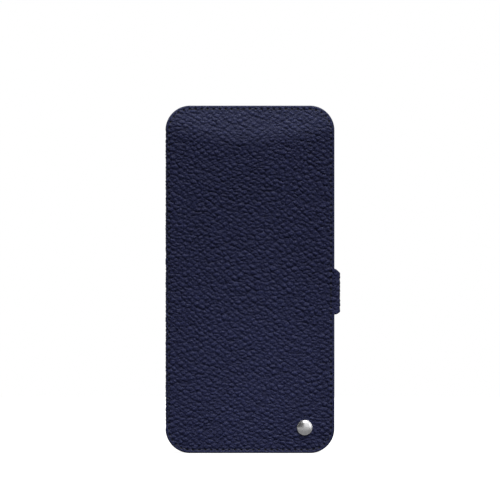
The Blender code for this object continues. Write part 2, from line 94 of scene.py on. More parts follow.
# ---------------------------------------------------------------- camera, stage
front_y = cov_lo[1]
cam_data = bpy.data.cameras.new("camera")
cam_data.lens = 289.6
cam_data.sensor_width = 36.0
cam_data.clip_start, cam_data.clip_end = 0.05, 60.0
cam = bpy.data.objects.new("camera", cam_data)
scene.collection.objects.link(cam)
cam.location = (-0.00144, front_y - 2.0, 0.1010)
cam.rotation_euler = (math.radians(90), 0, 0)
scene.camera = cam
scene.view_settings.view_transform = "Standard"

wd = bpy.data.worlds.new("studio")
scene.world = wd
wd.use_nodes = True
nt = wd.node_tree
nt.nodes.clear()
w_out = nt.nodes.new("ShaderNodeOutputWorld")
w_mix = nt.nodes.new("ShaderNodeMixShader")
w_path = nt.nodes.new("ShaderNodeLightPath")
w_fill = nt.nodes.new("ShaderNodeBackground")
w_fill.inputs["Color"].default_value = (1, 1, 1, 1)
w_fill.inputs["Strength"].default_value = 0.06
w_seen = nt.nodes.new("ShaderNodeBackground")
w_seen.inputs["Color"].default_value = (1, 1, 1, 1)
w_seen.inputs["Strength"].default_value = 1.0
nt.links.new(w_path.outputs["Is Camera Ray"], w_mix.inputs[0])
nt.links.new(w_fill.outputs[0], w_mix.inputs[1])
nt.links.new(w_seen.outputs[0], w_mix.inputs[2])
nt.links.new(w_mix.outputs[0], w_out.inputs["Surface"])

bm = bmesh.new()
bmesh.ops.create_circle(bm, cap_ends=True, radius=0.75, segments=96)
me = bpy.data.meshes.new("floor")
bm.to_mesh(me)
bm.free()
floor = bpy.data.objects.new("floor", me)
floor.location = (0, 0, -0.00002)
scene.collection.objects.link(floor)
floor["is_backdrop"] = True
fm = bpy.data.materials.new("floor_paper")
fm.use_nodes = True
nt = fm.node_tree
nt.nodes.clear()
f_out = nt.nodes.new("ShaderNodeOutputMaterial")
f_add = nt.nodes.new("ShaderNodeAddShader")
f_dif = nt.nodes.new("ShaderNodeBsdfDiffuse")
f_dif.inputs["Color"].default_value = (0.09, 0.09, 0.09, 1)
f_emi = nt.nodes.new("ShaderNodeEmission")
f_emi.inputs["Color"].default_value = (1, 1, 1, 1)
f_path = nt.nodes.new("ShaderNodeLightPath")
f_mul = nt.nodes.new("ShaderNodeMath")
f_mul.operation = "MULTIPLY"
f_mul.inputs[1].default_value = 0.93
nt.links.new(f_path.outputs["Is Camera Ray"], f_mul.inputs[0])
nt.links.new(f_mul.outputs[0], f_emi.inputs["Strength"])
nt.links.new(f_dif.outputs[0], f_add.inputs[0])
nt.links.new(f_emi.outputs[0], f_add.inputs[1])
nt.links.new(f_add.outputs[0], f_out.inputs["Surface"])
floor.data.materials.append(fm)


def softbox(name, at, aim, size, watts):
    d = bpy.data.lights.new(name, "AREA")
    d.shape = "RECTANGLE"
    d.size, d.size_y = size
    d.energy = watts
    o = bpy.data.objects.new(name, d)
    o.location = at
    o.rotation_mode = "QUATERNION"
    o.rotation_quaternion = (Vector(aim) - Vector(at)).to_track_quat("-Z", "Y")
    o.visible_camera = False
    scene.collection.objects.link(o)
    return o


softbox("key", (0.44, -1.06, 2.65), (0, 0, 0.10), (1.1, 0.9), 204.0)
softbox("key_rear", (-0.44, 1.10, 2.65), (0, 0, 0.10), (1.1, 0.9), 204.0)
softbox("side_left", (-1.25, 0.18, 0.75), (0, 0, 0.09), (0.7, 0.7), 8.0)
softbox("side_right", (1.25, 0.18, 0.75), (0, 0, 0.09), (0.7, 0.7), 8.0)
softbox("card_front", (0.55, -1.60, 0.45), (0, 0, 0.09), (1.2, 1.0), 3.0)
top = bpy.data.lights.new("top_sweep", "SPOT")
top.energy = 58.0
top.color = (1.0, 1.0, 0.74)
top.spot_size, top.spot_blend = math.radians(18.0), 0.08
top.shadow_soft_size = 0.0015
o = bpy.data.objects.new("top_sweep", top)
o.location = (0.0, front_y - 0.80, 0.75)
o.rotation_mode = "QUATERNION"
o.rotation_quaternion = (Vector((0.0, front_y, 0.329)) - o.location).to_track_quat("-Z", "Y")
scene.collection.objects.link(o)
low = bpy.data.lights.new("low_sweep", "SPOT")
low.energy = 70.0
low.spot_size, low.spot_blend = math.radians(5.2), 1.0
low.shadow_soft_size = 0.05
o = bpy.data.objects.new("low_sweep", low)
o.location = (0.10, front_y - 1.20, 0.75)
o.rotation_mode = "QUATERNION"
o.rotation_quaternion = (Vector((0.0, front_y, 0.024)) - o.location).to_track_quat("-Z", "Y")
scene.collection.objects.link(o)
softbox("card_right", (1.05, -0.95, 0.15), (0, 0, 0.06), (1.3, 1.3), 3.5)
softbox("card_rear", (-0.55, 1.60, 0.45), (0, 0, 0.09), (1.2, 1.0), 3.0)


# ---------------------------------------------------------------- noise, in numpy
def rnd(i, j, seed):
    h = (i * 374761393 + j * 668265263 + seed * 1442695041) & 0xFFFFFFFF
    h = ((h ^ (h >> 13)) * 1274126177) & 0xFFFFFFFF
    h = ((h ^ (h >> 15)) * 2246822519) & 0xFFFFFFFF
    h = h ^ (h >> 16)
    return h / 4294967296.0


def smooth(a, b, x):
    t = np.clip((x - a) / (b - a), 0, 1)
    return t * t * (3 - 2 * t)


def vnoise(x, z, seed):
    i, j = np.floor(x).astype(np.int64), np.floor(z).astype(np.int64)
    fx, fz = x - i, z - j
    fx, fz = fx * fx * (3 - 2 * fx), fz * fz * (3 - 2 * fz)
    lo = rnd(i, j, seed) * (1 - fx) + rnd(i + 1, j, seed) * fx
    hi = rnd(i, j + 1, seed) * (1 - fx) + rnd(i + 1, j + 1, seed) * fx
    return lo * (1 - fz) + hi * fz - 0.5


def cells(x, z, ax, az, seed, jit, wide=1.0, scale=1.0, rows=1):
    """Nearest and second nearest cell centres: their distances in cell sizes, the nearest one's number and offset.
    wide near 4 makes the cells diamonds, ax wide and 2 az high."""
    gx, gz = x / ax, z / az
    row = np.floor(gz).astype(np.int64)
    f1 = np.full(x.shape, 9.0)
    f2 = np.full(x.shape, 9.0)
    rid = np.zeros(x.shape)
    ox, oz = np.zeros(x.shape), np.zeros(x.shape)
    for dj in range(-rows, rows + 1):
        j = row + dj
        off = 0.5 * (j & 1)
        col = np.floor(gx - off).astype(np.int64)
        for di in (-1, 0, 1):
            i = col + di
            dx = gx - (i + off + 0.5 + jit * wide ** -0.35 * (rnd(i, j, seed) - 0.5))
            dz = gz - (j + 0.5 + jit * (rnd(i, j, seed + 7) - 0.5))
            d = np.sqrt(wide * dx * dx + dz * dz) * scale
            near = d < f1
            f2 = np.where(near, f1, np.minimum(f2, d))
            rid = np.where(near, rnd(i, j, seed + 13), rid)
            ox, oz = np.where(near, dx, ox), np.where(near, dz, oz)
            f1 = np.where(near, d, f1)
    return f1, f2, rid, ox, oz


def grain(s, z):
    """Pebbled grain of the outer leather: height from about -1 in the creases to about 0.5, and how far into the
    creases a point lies, a mask that darkens the colour as painted shade.
    """
    x = s + 3.2 * vnoise(s / 31, z / 27, 3) + 1.3 * vnoise(s / 9, z / 8, 1) + 0.4 * vnoise(s / 3.1, z / 2.7, 2)
    y = z + 5.0 * vnoise(s / 34, z / 30, 4) + 1.0 * vnoise(s / 8, z / 9, 5) + 0.4 * vnoise(s / 2.9, z / 2.5, 6)
    f1, f2, rid, ox, oz = cells(x, y, 4.00, 1.56, 11, 0.88, 3.2, 0.68, 2)
    e = f2 - f1
    # most pebbles are cut again by a slanting crease of their own
    lean = np.where((rid * 977.0) % 1.0 < 0.5, 1.0, -1.0) * (0.45 + 0.5 * ((rid * 391.0) % 1.0))
    cut = np.abs(oz - lean * ox * 2.1 - 0.40 * ((rid * 173.0) % 1.0 - 0.5))
    cut = np.where((rid * 613.0) % 1.0 < 0.60, np.exp(-cut / 0.15) * (1 - np.exp(-e / 0.1)), 0.0)
    # long creases that run slantwise across many pebbles
    long_ = np.zeros(s.shape)
    for sign, seed, pitch in ((1, 61, 5.4), (-1, 67, 6.2)):
        w = (y * 0.94 + sign * x * 0.34) / pitch + 0.5 * vnoise(s / 6.5, z / 6.5, seed) + 0.10 * vnoise(s / 2, z / 2, seed + 1)
        w = np.abs(w - np.round(w)) * pitch
        long_ = np.maximum(long_, np.exp(-w / 0.28) * smooth(-0.10, 0.16, vnoise(s / 8 + 3 * sign, z / 8, seed + 2)))
    h = (1 - np.exp(-e / 0.22)) * (0.75 + 0.14 * (rid - 0.5)) - 0.5 * f1 ** 2 - 0.58 * cut - 0.46 * long_
    h += 0.25 * (rid - 0.5) * ox + 0.40 * vnoise(s / 0.80, z / 0.70, 8) + 0.10 * vnoise(s / 1.5, z / 1.2, 9)
    # painted shade: how far into the creases a point lies, which darkens the leather's colour where shade falls
    crease = np.clip(np.maximum(np.maximum(np.exp(-e / 0.16) * 0.9, cut * 0.7), long_ * 0.9), 0, 1)
    return h - 0.60, crease


def fine_grain(s, z):
    """Small close grain, for the pockets and the stretched leather of the tray, with the mask of its creases that
    darkens the colour as painted shade.
    """
    x = s + 0.8 * vnoise(s / 6, z / 6, 41)
    y = z + 0.8 * vnoise(s / 6, z / 6, 42)
    f1, f2, rid, ox, oz = cells(x, y, 1.9, 1.6, 43, 0.9)
    h = (1 - np.exp(-(f2 - f1) / 0.2)) * (0.7 + 0.3 * rid) + 0.3 * vnoise(s / 0.9, z / 0.9, 44)
    return h - 0.7, np.exp(-(f2 - f1) / 0.12)


# ---------------------------------------------------------------- outlines
def rr_path(w, h, rl, rr, inset, n):
    """n points spaced evenly round a rounded rectangle, from the lower end of its left side anticlockwise, with outward normals."""
    a, b = inset, w - inset
    c, d = inset, h - inset
    rl, rr = rl - inset, rr - inset
    legs = [
        ("arc", a + rl, c + rl, rl, math.pi),
        ("line", a + rl, c, b - rr, c, 0, -1),
        ("arc", b - rr, c + rr, rr, 1.5 * math.pi),
        ("line", b, c + rr, b, d - rr, 1, 0),
        ("arc", b - rr, d - rr, rr, 0.0),
        ("line", b - rr, d, a + rl, d, 0, 1),
        ("arc", a + rl, d - rl, rl, 0.5 * math.pi),
        ("line", a, d - rl, a, c + rl, -1, 0),
    ]
    size = [l[3] * math.pi / 2 if l[0] == "arc" else math.dist(l[1:3], l[3:5]) for l in legs]
    ends = np.cumsum([0] + size)
    out = []
    for k in range(n):
        t = ends[-1] * k / n
        i = min(int(np.searchsorted(ends, t, side="right")) - 1, 7)
        l, f = legs[i], (t - ends[i]) / size[i]
        if l[0] == "arc":
            g = l[4] + f * math.pi / 2
            out.append((l[1] + l[3] * math.cos(g), l[2] + l[3] * math.sin(g), math.cos(g), math.sin(g), i))
        else:
            out.append((l[1] + f * (l[3] - l[1]), l[2] + f * (l[4] - l[2]), l[5], l[6], i))
    out = np.array(out)
    return out[:, :2], out[:, 2:4], out[:, 4].astype(int), ends[-1]


def dense(poly, closed=False, step=0.06):
    p = np.asarray(poly, float)
    q = np.vstack([p, p[:1]]) if closed else p
    out = []
    for a, b in zip(q[:-1], q[1:]):
        m = max(1, int(math.ceil(np.linalg.norm(b - a) / step)))
        out.append(a + (b - a) * (np.arange(m) / m)[:, None])
    out.append(q[-1:])
    return np.vstack(out)


def near_dist(points, cloud, far=99.0):
    kd = kdtree.KDTree(len(cloud))
    for i, (a, b) in enumerate(cloud):
        kd.insert((a, b, 0.0), i)
    kd.balance()
    return np.array([kd.find((a, b, 0.0))[2] for a, b in points])


def cdt(outline, inner):
    pts = [Vector((float(a), float(b))) for a, b in outline] + [Vector((float(a), float(b))) for a, b in inner]
    v, _, f, ov, _, _ = delaunay_2d_cdt(pts, [], [list(range(len(outline)))], 1, 1e-6)
    xy = np.array([(p.x, p.y) for p in v])
    back = {}
    for k, orig in enumerate(ov):
        for o in orig:
            back[o] = k
    rim = np.array([back[k] for k in range(len(outline))])
    tri = np.array([t for t in f if len(t) == 3], np.int64)
    a, b, c = xy[tri[:, 0]], xy[tri[:, 1]], xy[tri[:, 2]]
    area = (b[:, 0] - a[:, 0]) * (c[:, 1] - a[:, 1]) - (b[:, 1] - a[:, 1]) * (c[:, 0] - a[:, 0])
    tri[area < 0] = tri[area < 0][:, ::-1]
    return xy, tri[np.abs(area) > 1e-9], rim


def hexes(x0, x1, z0, z1, pitch):
    rows = np.arange(z0, z1, pitch * 0.866)
    pts = []
    for k, z in enumerate(rows):
        xs = np.arange(x0 + (pitch / 2 if k % 2 else 0), x1, pitch)
        pts.append(np.stack([xs, np.full(xs.shape, z)], 1))
    return np.vstack(pts)


def jiggle(p, amount, seed):
    i = np.arange(len(p), dtype=np.int64)
    return p + amount * np.stack([rnd(i, i * 3 + 1, seed) - 0.5, rnd(i, i * 5 + 2, seed + 1) - 0.5], 1)


# ---------------------------------------------------------------- mesh helpers
def mesh_from(name, verts, faces, mats, face_mat=None, flip=False, sharp=55, attrs=None):
    verts = np.asarray(verts, np.float32)
    tri = [f for f in faces]
    counts = np.concatenate([np.full(len(f), f.shape[1], np.int32) for f in tri])
    loops = np.concatenate([(f[:, ::-1] if flip else f).ravel() for f in tri]).astype(np.int32)
    me = bpy.data.meshes.new(name)
    me.vertices.add(len(verts))
    me.vertices.foreach_set("co", verts.ravel())
    me.loops.add(len(loops))
    me.loops.foreach_set("vertex_index", loops)
    me.polygons.add(len(counts))
    me.polygons.foreach_set("loop_start", np.concatenate([[0], np.cumsum(counts)[:-1]]).astype(np.int32))
    me.polygons.foreach_set("loop_total", counts)
    if face_mat is not None:
        me.polygons.foreach_set("material_index", np.asarray(face_mat, np.int32))
    me.update(calc_edges=True)
    me.validate()
    for m in mats:
        me.materials.append(m)
    for key, val in (attrs or {}).items():
        val = np.asarray(val, np.float32)
        at = me.attributes.new(key, "FLOAT_VECTOR" if val.ndim == 2 else "FLOAT", "POINT")
        at.data.foreach_set("vector" if val.ndim == 2 else "value", val.ravel())
    me.shade_smooth()
    me.set_sharp_from_angle(angle=math.radians(sharp))
    ob = bpy.data.objects.new(name, me)
    scene.collection.objects.link(ob)
    return ob


def solid(name, outline, top_pts, low_pts, place, top_d, low_d, mats, extra, flip=False, bulge=0.04, rows=3):
    """A closed skin: a finely divided outer face, a painted edge and a plain inner face.
    place(s, z, depth) gives world points; top_d and low_d give depths below the nominal face; extra(s, z) gives attributes."""
    n = len(outline)
    txy, ttri, trim = cdt(outline, top_pts)
    bxy, btri, brim = cdt(outline, low_pts)
    td, bd = top_d(txy), low_d(bxy)
    nt_, nb = len(txy), len(bxy)
    xy = [txy, bxy]
    dep = [td, bd]
    o = np.asarray(outline)
    nxt, prv = np.roll(o, -1, 0), np.roll(o, 1, 0)
    tan = nxt - prv
    nrm = np.stack([tan[:, 1], -tan[:, 0]], 1)
    nrm /= np.maximum(np.linalg.norm(nrm, axis=1), 1e-9)[:, None]
    ring_ids = [trim]
    base = nt_ + nb
    for k in range(1, rows + 1):
        f = k / (rows + 1)
        push = bulge * math.sin(math.pi * f)
        xy.append(o + nrm * push)
        dep.append(td[trim] * (1 - f) + bd[brim] * f)
        ring_ids.append(base + np.arange(n))
        base += n
    ring_ids.append(nt_ + brim)
    quads = []
    for a, b in zip(ring_ids[:-1], ring_ids[1:]):
        quads.append(np.stack([np.roll(a, -1), a, b, np.roll(b, -1)], 1))
    quads = np.vstack(quads)
    xy, dep = np.vstack(xy), np.concatenate(dep)
    verts = place(xy[:, 0], xy[:, 1], dep)
    fm = np.concatenate([np.zeros(len(ttri)), np.full(len(btri), 2 if len(mats) > 2 else 0), np.ones(len(quads))])
    return mesh_from(name, verts, [ttri, nt_ + btri[:, ::-1], quads], mats, fm, flip, attrs=extra(xy[:, 0], xy[:, 1], dep))


# ---------------------------------------------------------------- materials
def mat(name):
    m = bpy.data.materials.new(name)
    m.use_nodes = True
    return m, m.node_tree, m.node_tree.nodes["Principled BSDF"]


def node(nt, kind, at=None, **sets):
    n = nt.nodes.new(kind)
    for k, v in sets.items():
        if hasattr(n, k):
            setattr(n, k, v)
        else:
            n.inputs[k.replace("_", " ")].default_value = v
    return n


def coords(nt, attr=None, scale=None):
    if attr:
        a = nt.nodes.new("ShaderNodeAttribute")
        a.attribute_name = attr
        src = a.outputs["Vector"]
    else:
        src = nt.nodes.new("ShaderNodeTexCoord").outputs["Object"]
    if scale:
        m = nt.nodes.new("ShaderNodeMapping")
        m.inputs["Scale"].default_value = scale if hasattr(scale, "__len__") else (scale,) * 3
        nt.links.new(src, m.inputs["Vector"])
        src = m.outputs["Vector"]
    return src


def noise(nt, vec, scale, detail=3.0, rough=0.5):
    n = nt.nodes.new("ShaderNodeTexNoise")
    n.inputs["Scale"].default_value = scale
    n.inputs["Detail"].default_value = detail
    n.inputs["Roughness"].default_value = rough
    nt.links.new(vec, n.inputs["Vector"])
    return n.outputs["Fac"]


def voronoi(nt, vec, scale, feature="F1", rand=1.0):
    n = nt.nodes.new("ShaderNodeTexVoronoi")
    n.feature = feature
    n.inputs["Scale"].default_value = scale
    n.inputs["Randomness"].default_value = rand
    nt.links.new(vec, n.inputs["Vector"])
    return n.outputs["Distance"]


def ramp(nt, fac, stops):
    r = nt.nodes.new("ShaderNodeMapRange")
    r.inputs["From Min"].default_value, r.inputs["From Max"].default_value = stops[0]
    r.inputs["To Min"].default_value, r.inputs["To Max"].default_value = stops[1]
    nt.links.new(fac, r.inputs["Value"])
    return r.outputs["Result"]


def mixc(nt, fac, a, b):
    m = nt.nodes.new("ShaderNodeMix")
    m.data_type = "RGBA"
    nt.links.new(fac, m.inputs["Factor"])
    for sock, val in ((m.inputs[6], a), (m.inputs[7], b)):
        if hasattr(val, "is_linked"):
            nt.links.new(val, sock)
        else:
            sock.default_value = (*val, 1.0)
    return m.outputs[2]


def math_(nt, op, a, b=None):
    m = nt.nodes.new("ShaderNodeMath")
    m.operation = op
    for sock, val in zip(m.inputs, (a, b)):
        if val is None:
            continue
        if hasattr(val, "is_linked"):
            nt.links.new(val, sock)
        else:
            sock.default_value = val
    return m.outputs[0]


def bump(nt, bsdf, height, dist, strength=1.0, prev=None):
    b = nt.nodes.new("ShaderNodeBump")
    b.inputs["Distance"].default_value = dist
    b.inputs["Strength"].default_value = strength
    nt.links.new(height, b.inputs["Height"])
    if prev is not None:
        nt.links.new(prev, b.inputs["Normal"])
    nt.links.new(b.outputs["Normal"], bsdf.inputs["Normal"])
    return b.outputs["Normal"]


def attr(nt, name):
    a = nt.nodes.new("ShaderNodeAttribute")
    a.attribute_name = name
    return a.outputs["Fac"]


def leather_material(name, base, shade_and_edge_colour, light, rough, fine=1.0, spec=0.5):
    m, nt, p = mat(name)
    c = coords(nt, "dev")
    big = noise(nt, c, 0.035, 3.0, 0.6)
    small = noise(nt, c, 1.3, 4.0, 0.6)
    col = mixc(nt, ramp(nt, big, ((0.3, 0.7), (0.0, 1.0))), base, light)
    col = mixc(nt, ramp(nt, small, ((0.35, 0.75), (0.0, 0.35))), col, light)
    wr = voronoi(nt, c, 0.80, "DISTANCE_TO_EDGE")
    # painted shade: darker along the edges of these fine wrinkle cells, where shade falls
    col = mixc(nt, ramp(nt, wr, ((0.0, 0.14), (0.6 * fine, 0.0))), col, shade_and_edge_colour)
    # painted shade: the creases from the mesh's mask take the darker colour; the rim's edge paint shares this colour
    col = mixc(nt, attr(nt, "crease"), col, shade_and_edge_colour)
    # painted shade: near-black in the stitch holes
    col = mixc(nt, ramp(nt, attr(nt, "hole"), ((0.20, 0.62), (0.0, 1.0))), col, (0.0008, 0.0008, 0.0016))
    nt.links.new(col, p.inputs["Base Color"])
    r = ramp(nt, small, ((0.3, 0.75), (rough - 0.05, rough + 0.08)))
    r = math_(nt, "ADD", r, math_(nt, "MULTIPLY", attr(nt, "crease"), 0.18))
    nt.links.new(r, p.inputs["Roughness"])
    p.inputs["Specular IOR Level"].default_value = spec
    n1 = bump(nt, p, ramp(nt, wr, ((0.0, 0.22), (0.0, 1.0))), 0.00012 * fine, 0.9)
    pores = noise(nt, c, 2.4, 4.0, 0.7)
    bump(nt, p, pores, 0.00016 * fine, 0.8, n1)
    return m


# the middle colour is painted crease shade, also used as the edge paint by the rim
NAVY_BASE, NAVY_SHADE_AND_EDGE, NAVY_LIGHT = (0.0076, 0.0094, 0.0336), (0.0029, 0.0036, 0.0150), (0.0089, 0.0109, 0.0374)
M_LEATHER = leather_material("navy_leather_grain", NAVY_BASE, NAVY_SHADE_AND_EDGE, NAVY_LIGHT, 0.52, spec=0.10)
# the third colour of each is painted crease shade
M_TRAY = leather_material("tray_leather_grain", (0.0092, 0.0106, 0.0290), (0.0042, 0.0050, 0.0150), (0.0112, 0.0130, 0.0340), 0.50, fine=0.5, spec=0.16)
M_POCKET = leather_material("pocket_leather_grain", (0.0100, 0.0116, 0.0310), (0.0048, 0.0056, 0.0160), (0.0125, 0.0142, 0.0365), 0.54, fine=0.4, spec=0.16)


def edge_paint(name, colour):
    m, nt, p = mat(name)
    c = coords(nt, "dev")
    n = noise(nt, c, 0.9, 3.0, 0.6)
    nt.links.new(mixc(nt, n, colour, tuple(x * 1.5 for x in colour)), p.inputs["Base Color"])
    nt.links.new(ramp(nt, n, ((0.3, 0.7), (0.48, 0.62))), p.inputs["Roughness"])
    p.inputs["Specular IOR Level"].default_value = 0.16
    bump(nt, p, noise(nt, c, 2.0, 2.0, 0.5), 0.00004, 0.5)
    return m


def flesh(name):
    """The leather's raw inner side."""
    m, nt, p = mat(name)
    c = coords(nt, "dev")
    n = noise(nt, c, 3.0, 5.0, 0.7)
    nt.links.new(mixc(nt, n, (0.030, 0.032, 0.050), (0.060, 0.062, 0.080)), p.inputs["Base Color"])
    p.inputs["Roughness"].default_value = 0.92
    p.inputs["Specular IOR Level"].default_value = 0.2
    bump(nt, p, n, 0.0001, 0.6)
    return m


M_EDGE = edge_paint("edge_paint", (0.0040, 0.0043, 0.0125))
M_FLESH = flesh("leather_flesh_side")


def suede(name, colour, light):
    m, nt, p = mat(name)
    c = coords(nt, "dev")
    nap = noise(nt, c, 0.12, 3.0, 0.6)
    fib = noise(nt, c, 7.0, 3.0, 0.7)
    col = mixc(nt, ramp(nt, nap, ((0.35, 0.65), (0.0, 0.7))), colour, light)
    col = mixc(nt, ramp(nt, fib, ((0.3, 0.7), (0.0, 0.6))), col, light)
    nt.links.new(col, p.inputs["Base Color"])
    p.inputs["Roughness"].default_value = 0.93
    p.inputs["Specular IOR Level"].default_value = 0.15
    p.inputs["Sheen Weight"].default_value = 0.12
    p.inputs["Sheen Roughness"].default_value = 0.55
    p.inputs["Sheen Tint"].default_value = (0.55, 0.58, 0.80, 1)
    n1 = bump(nt, p, fib, 0.00012, 0.6)
    bump(nt, p, noise(nt, c, 1.1, 4.0, 0.6), 0.00008, 0.5, n1)
    return m


M_SUEDE = suede("suede_lining_nap", (0.018, 0.020, 0.038), (0.034, 0.037, 0.064))


def thread_material(name, colour, light):
    m, nt, p = mat(name)
    c = coords(nt, "dev")
    wv = nt.nodes.new("ShaderNodeTexWave")
    wv.wave_type = "BANDS"
    wv.bands_direction = "DIAGONAL"
    wv.inputs["Scale"].default_value = 0.9
    wv.inputs["Distortion"].default_value = 1.0
    nt.links.new(c, wv.inputs["Vector"])
    nt.links.new(mixc(nt, wv.outputs["Fac"], colour, light), p.inputs["Base Color"])
    p.inputs["Roughness"].default_value = 0.6
    p.inputs["Specular IOR Level"].default_value = 0.3
    bump(nt, p, wv.outputs["Fac"], 0.00005, 0.6)
    return m


M_THREAD = thread_material("navy_thread_twist", (0.0062, 0.0070, 0.0200), (0.0100, 0.0110, 0.0300))


# ---------------------------------------------------------------- mappings
S_ARC = FOLD_R * (1 - math.pi / 2)                   # the bend's end on the spine
S_MID = S_ARC - (T / 2 - FOLD_R)                      # middle of the spine
SPINE_LO, SPINE_HI = spi_lo[2] * 1000 + 0.6, spi_hi[2] * 1000 - 0.6


def fold(s, z):
    """Outer face of the cover and its half of the spine: point and outward normal in (u, v). Beyond the spine's ends the bend dies away."""
    k = np.maximum(smooth(SPINE_HI + 2.0, SPINE_HI - 0.4, z) * smooth(SPINE_LO - 2.0, SPINE_LO + 0.4, z), 1e-3)
    phi = np.clip((FOLD_R - s) / FOLD_R, 0, math.pi / 2) * k
    bend = s < FOLD_R
    u = np.where(bend, FOLD_R - FOLD_R / k * np.sin(phi), s)
    v = np.where(bend, T - FOLD_R / k * (1 - np.cos(phi)), T)
    v = v - np.maximum(S_ARC - s, 0)
    return u, v, -np.sin(phi), np.cos(phi)


def cover_place(s, z, d):
    u, v, nu, nv = fold(s, z)
    return to_world(u - nu * d, v - nv * d, z)


def back_place(s, z, d):
    u, v, nu, nv = fold(s, z)
    return to_world(u - nu * d, (T - v) + nv * d, z)


TAB_Z = (tab_lo[2] + tab_hi[2]) * 500
TAB_ARC = TAB_R * math.pi / 2
TAB_END = W_COVER + TAB_ARC + (T - TAB_R - 0.8)


def tab_place(s, z, d):
    phi = np.clip((s - W_COVER) / TAB_R, 0, math.pi / 2)
    u = W_COVER + TAB_R * np.sin(phi)
    v = T - TAB_R * (1 - np.cos(phi)) - np.maximum(s - W_COVER - TAB_ARC, 0)
    return to_world(u - np.sin(phi) * d, v - np.cos(phi) * d, z)


# ---------------------------------------------------------------- the folio's skin
def panel(width, r_spine, r_free):
    n_st = int(round((rr_path(width, H, r_spine, r_free, STITCH_IN, 8)[3]) / 3.0))
    base, nrm, leg, size = rr_path(width, H, r_spine, r_free, STITCH_IN, n_st * 8)
    return {"w": width, "rs": r_spine, "rf": r_free, "n": n_st, "base": base, "nrm": nrm, "leg": leg}


COVER = panel(W_COVER, R_COVER, R_COVER)
BACK = panel(W_BACK, R_BACK_SPINE, R_COVER)


def sdf_in(pan, p):
    """Distance inside a panel's rounded rectangle."""
    w, rs, rf = pan["w"], pan["rs"], pan["rf"]
    x, z = p[:, 0], p[:, 1]
    r = np.where(x < w / 2, rs, rf)
    qx = np.abs(x - w / 2) - (w / 2 - r)
    qz = np.abs(z - H / 2) - (H / 2 - r)
    out = np.hypot(np.maximum(qx, 0), np.maximum(qz, 0)) + np.minimum(np.maximum(qx, qz), 0) - r
    return -out


def outer_outline(pan, fillet, spacing=0.45):
    """The cut outline of a panel with half the spine, anticlockwise, and which of its points are on a free edge."""
    free = pan["leg"] < 7
    ring = (pan["base"] + pan["nrm"] * STITCH_IN)[free]
    top_arc = [(-fillet + fillet * math.cos(a), SPINE_HI + fillet - fillet * math.sin(a)) for a in np.linspace(0, math.pi / 2, 7)]
    low_arc = [(x, SPINE_LO + SPINE_HI - z) for x, z in reversed(top_arc)]
    m = max(2, int(round((-fillet - S_MID) / spacing)))
    run = np.linspace(-fillet, S_MID, m + 1)
    top_run = [(x, SPINE_HI) for x in run[1:]]
    low_run = [(x, SPINE_LO) for x in run[::-1][:-1]]
    m = int(round((SPINE_HI - SPINE_LO) / spacing))
    seam = [(S_MID, z) for z in np.linspace(SPINE_HI, SPINE_LO, m + 1)[1:-1]]
    if abs(ring[0][1] - low_arc[-1][1]) < 0.05:
        low_arc = low_arc[:-1]
    if abs(ring[-1][1] - top_arc[0][1]) < 0.05:
        top_arc = top_arc[1:]
    line = low_run + low_arc + [tuple(p) for p in ring] + top_arc + top_run
    pts = np.array(line + seam)
    return pts, len(line), len(low_run) + len(low_arc), len(ring)


cov_out, cov_line, cov_first, cov_ring = outer_outline(COVER, 1.6)
bak_out, bak_line, bak_first, bak_ring = outer_outline(BACK, 0.6)

# the tab's root: the points of the cover's outline that the tab's leather grows from
on_right = np.array([abs(p[0] - W_COVER) < 1e-6 for p in cov_out[:cov_line]])
ids = np.nonzero(on_right & (np.abs(cov_out[:cov_line, 1] - TAB_Z) <= 11.55))[0]
root = cov_out[ids]                                    # upwards
root_lo, root_hi = root[0, 1], root[-1, 1]


def tab_side(sign, s):
    """Half width of the tab where its leather has run s past the cover's edge."""
    u = np.sin(np.clip(s / TAB_R, 0, math.pi / 2))
    if sign > 0:
        return 9.6 + (root_hi - TAB_Z - 9.6) * (1 - u ** 1.7)
    return 10.2 + (TAB_Z - root_lo - 10.2) * (1 - u ** 2.6)


TIP_R = 3.2
run = np.arange(0.4, TAB_END - W_COVER - TIP_R, 0.4)
up_side = [(W_COVER + s, TAB_Z + float(tab_side(1, s))) for s in run]
dn_side = [(W_COVER + s, TAB_Z - float(tab_side(-1, s))) for s in run]
tip = []
for a in np.linspace(-math.pi / 2, 0, 9):
    tip.append((TAB_END - TIP_R + TIP_R * math.cos(a), TAB_Z - 10.2 + TIP_R + TIP_R * math.sin(a)))
for z in np.arange(TAB_Z - 10.2 + TIP_R + 0.4, TAB_Z + 9.6 - TIP_R, 0.4):
    tip.append((TAB_END, z))
for a in np.linspace(0, math.pi / 2, 9):
    tip.append((TAB_END - TIP_R + TIP_R * math.cos(a), TAB_Z + 9.6 - TIP_R + TIP_R * math.sin(a)))
tab_free = [tuple(root[0])] + dn_side + tip + up_side[::-1] + [tuple(root[-1])]
tab_out = np.array(tab_free + [tuple(p) for p in root[::-1][1:-1]])

cov_free = np.vstack([dense(cov_out[: ids[0] + 1]), dense(cov_out[ids[-1]: cov_line])])
front_free = np.vstack([cov_free, dense(tab_free)])
back_free = dense(bak_out[:bak_line])

GRAIN_AMP = 0.62
stud_u, stud_z = (stud_lo[0] + stud_hi[0]) * 500 + U_OFF, (stud_lo[2] + stud_hi[2]) * 500


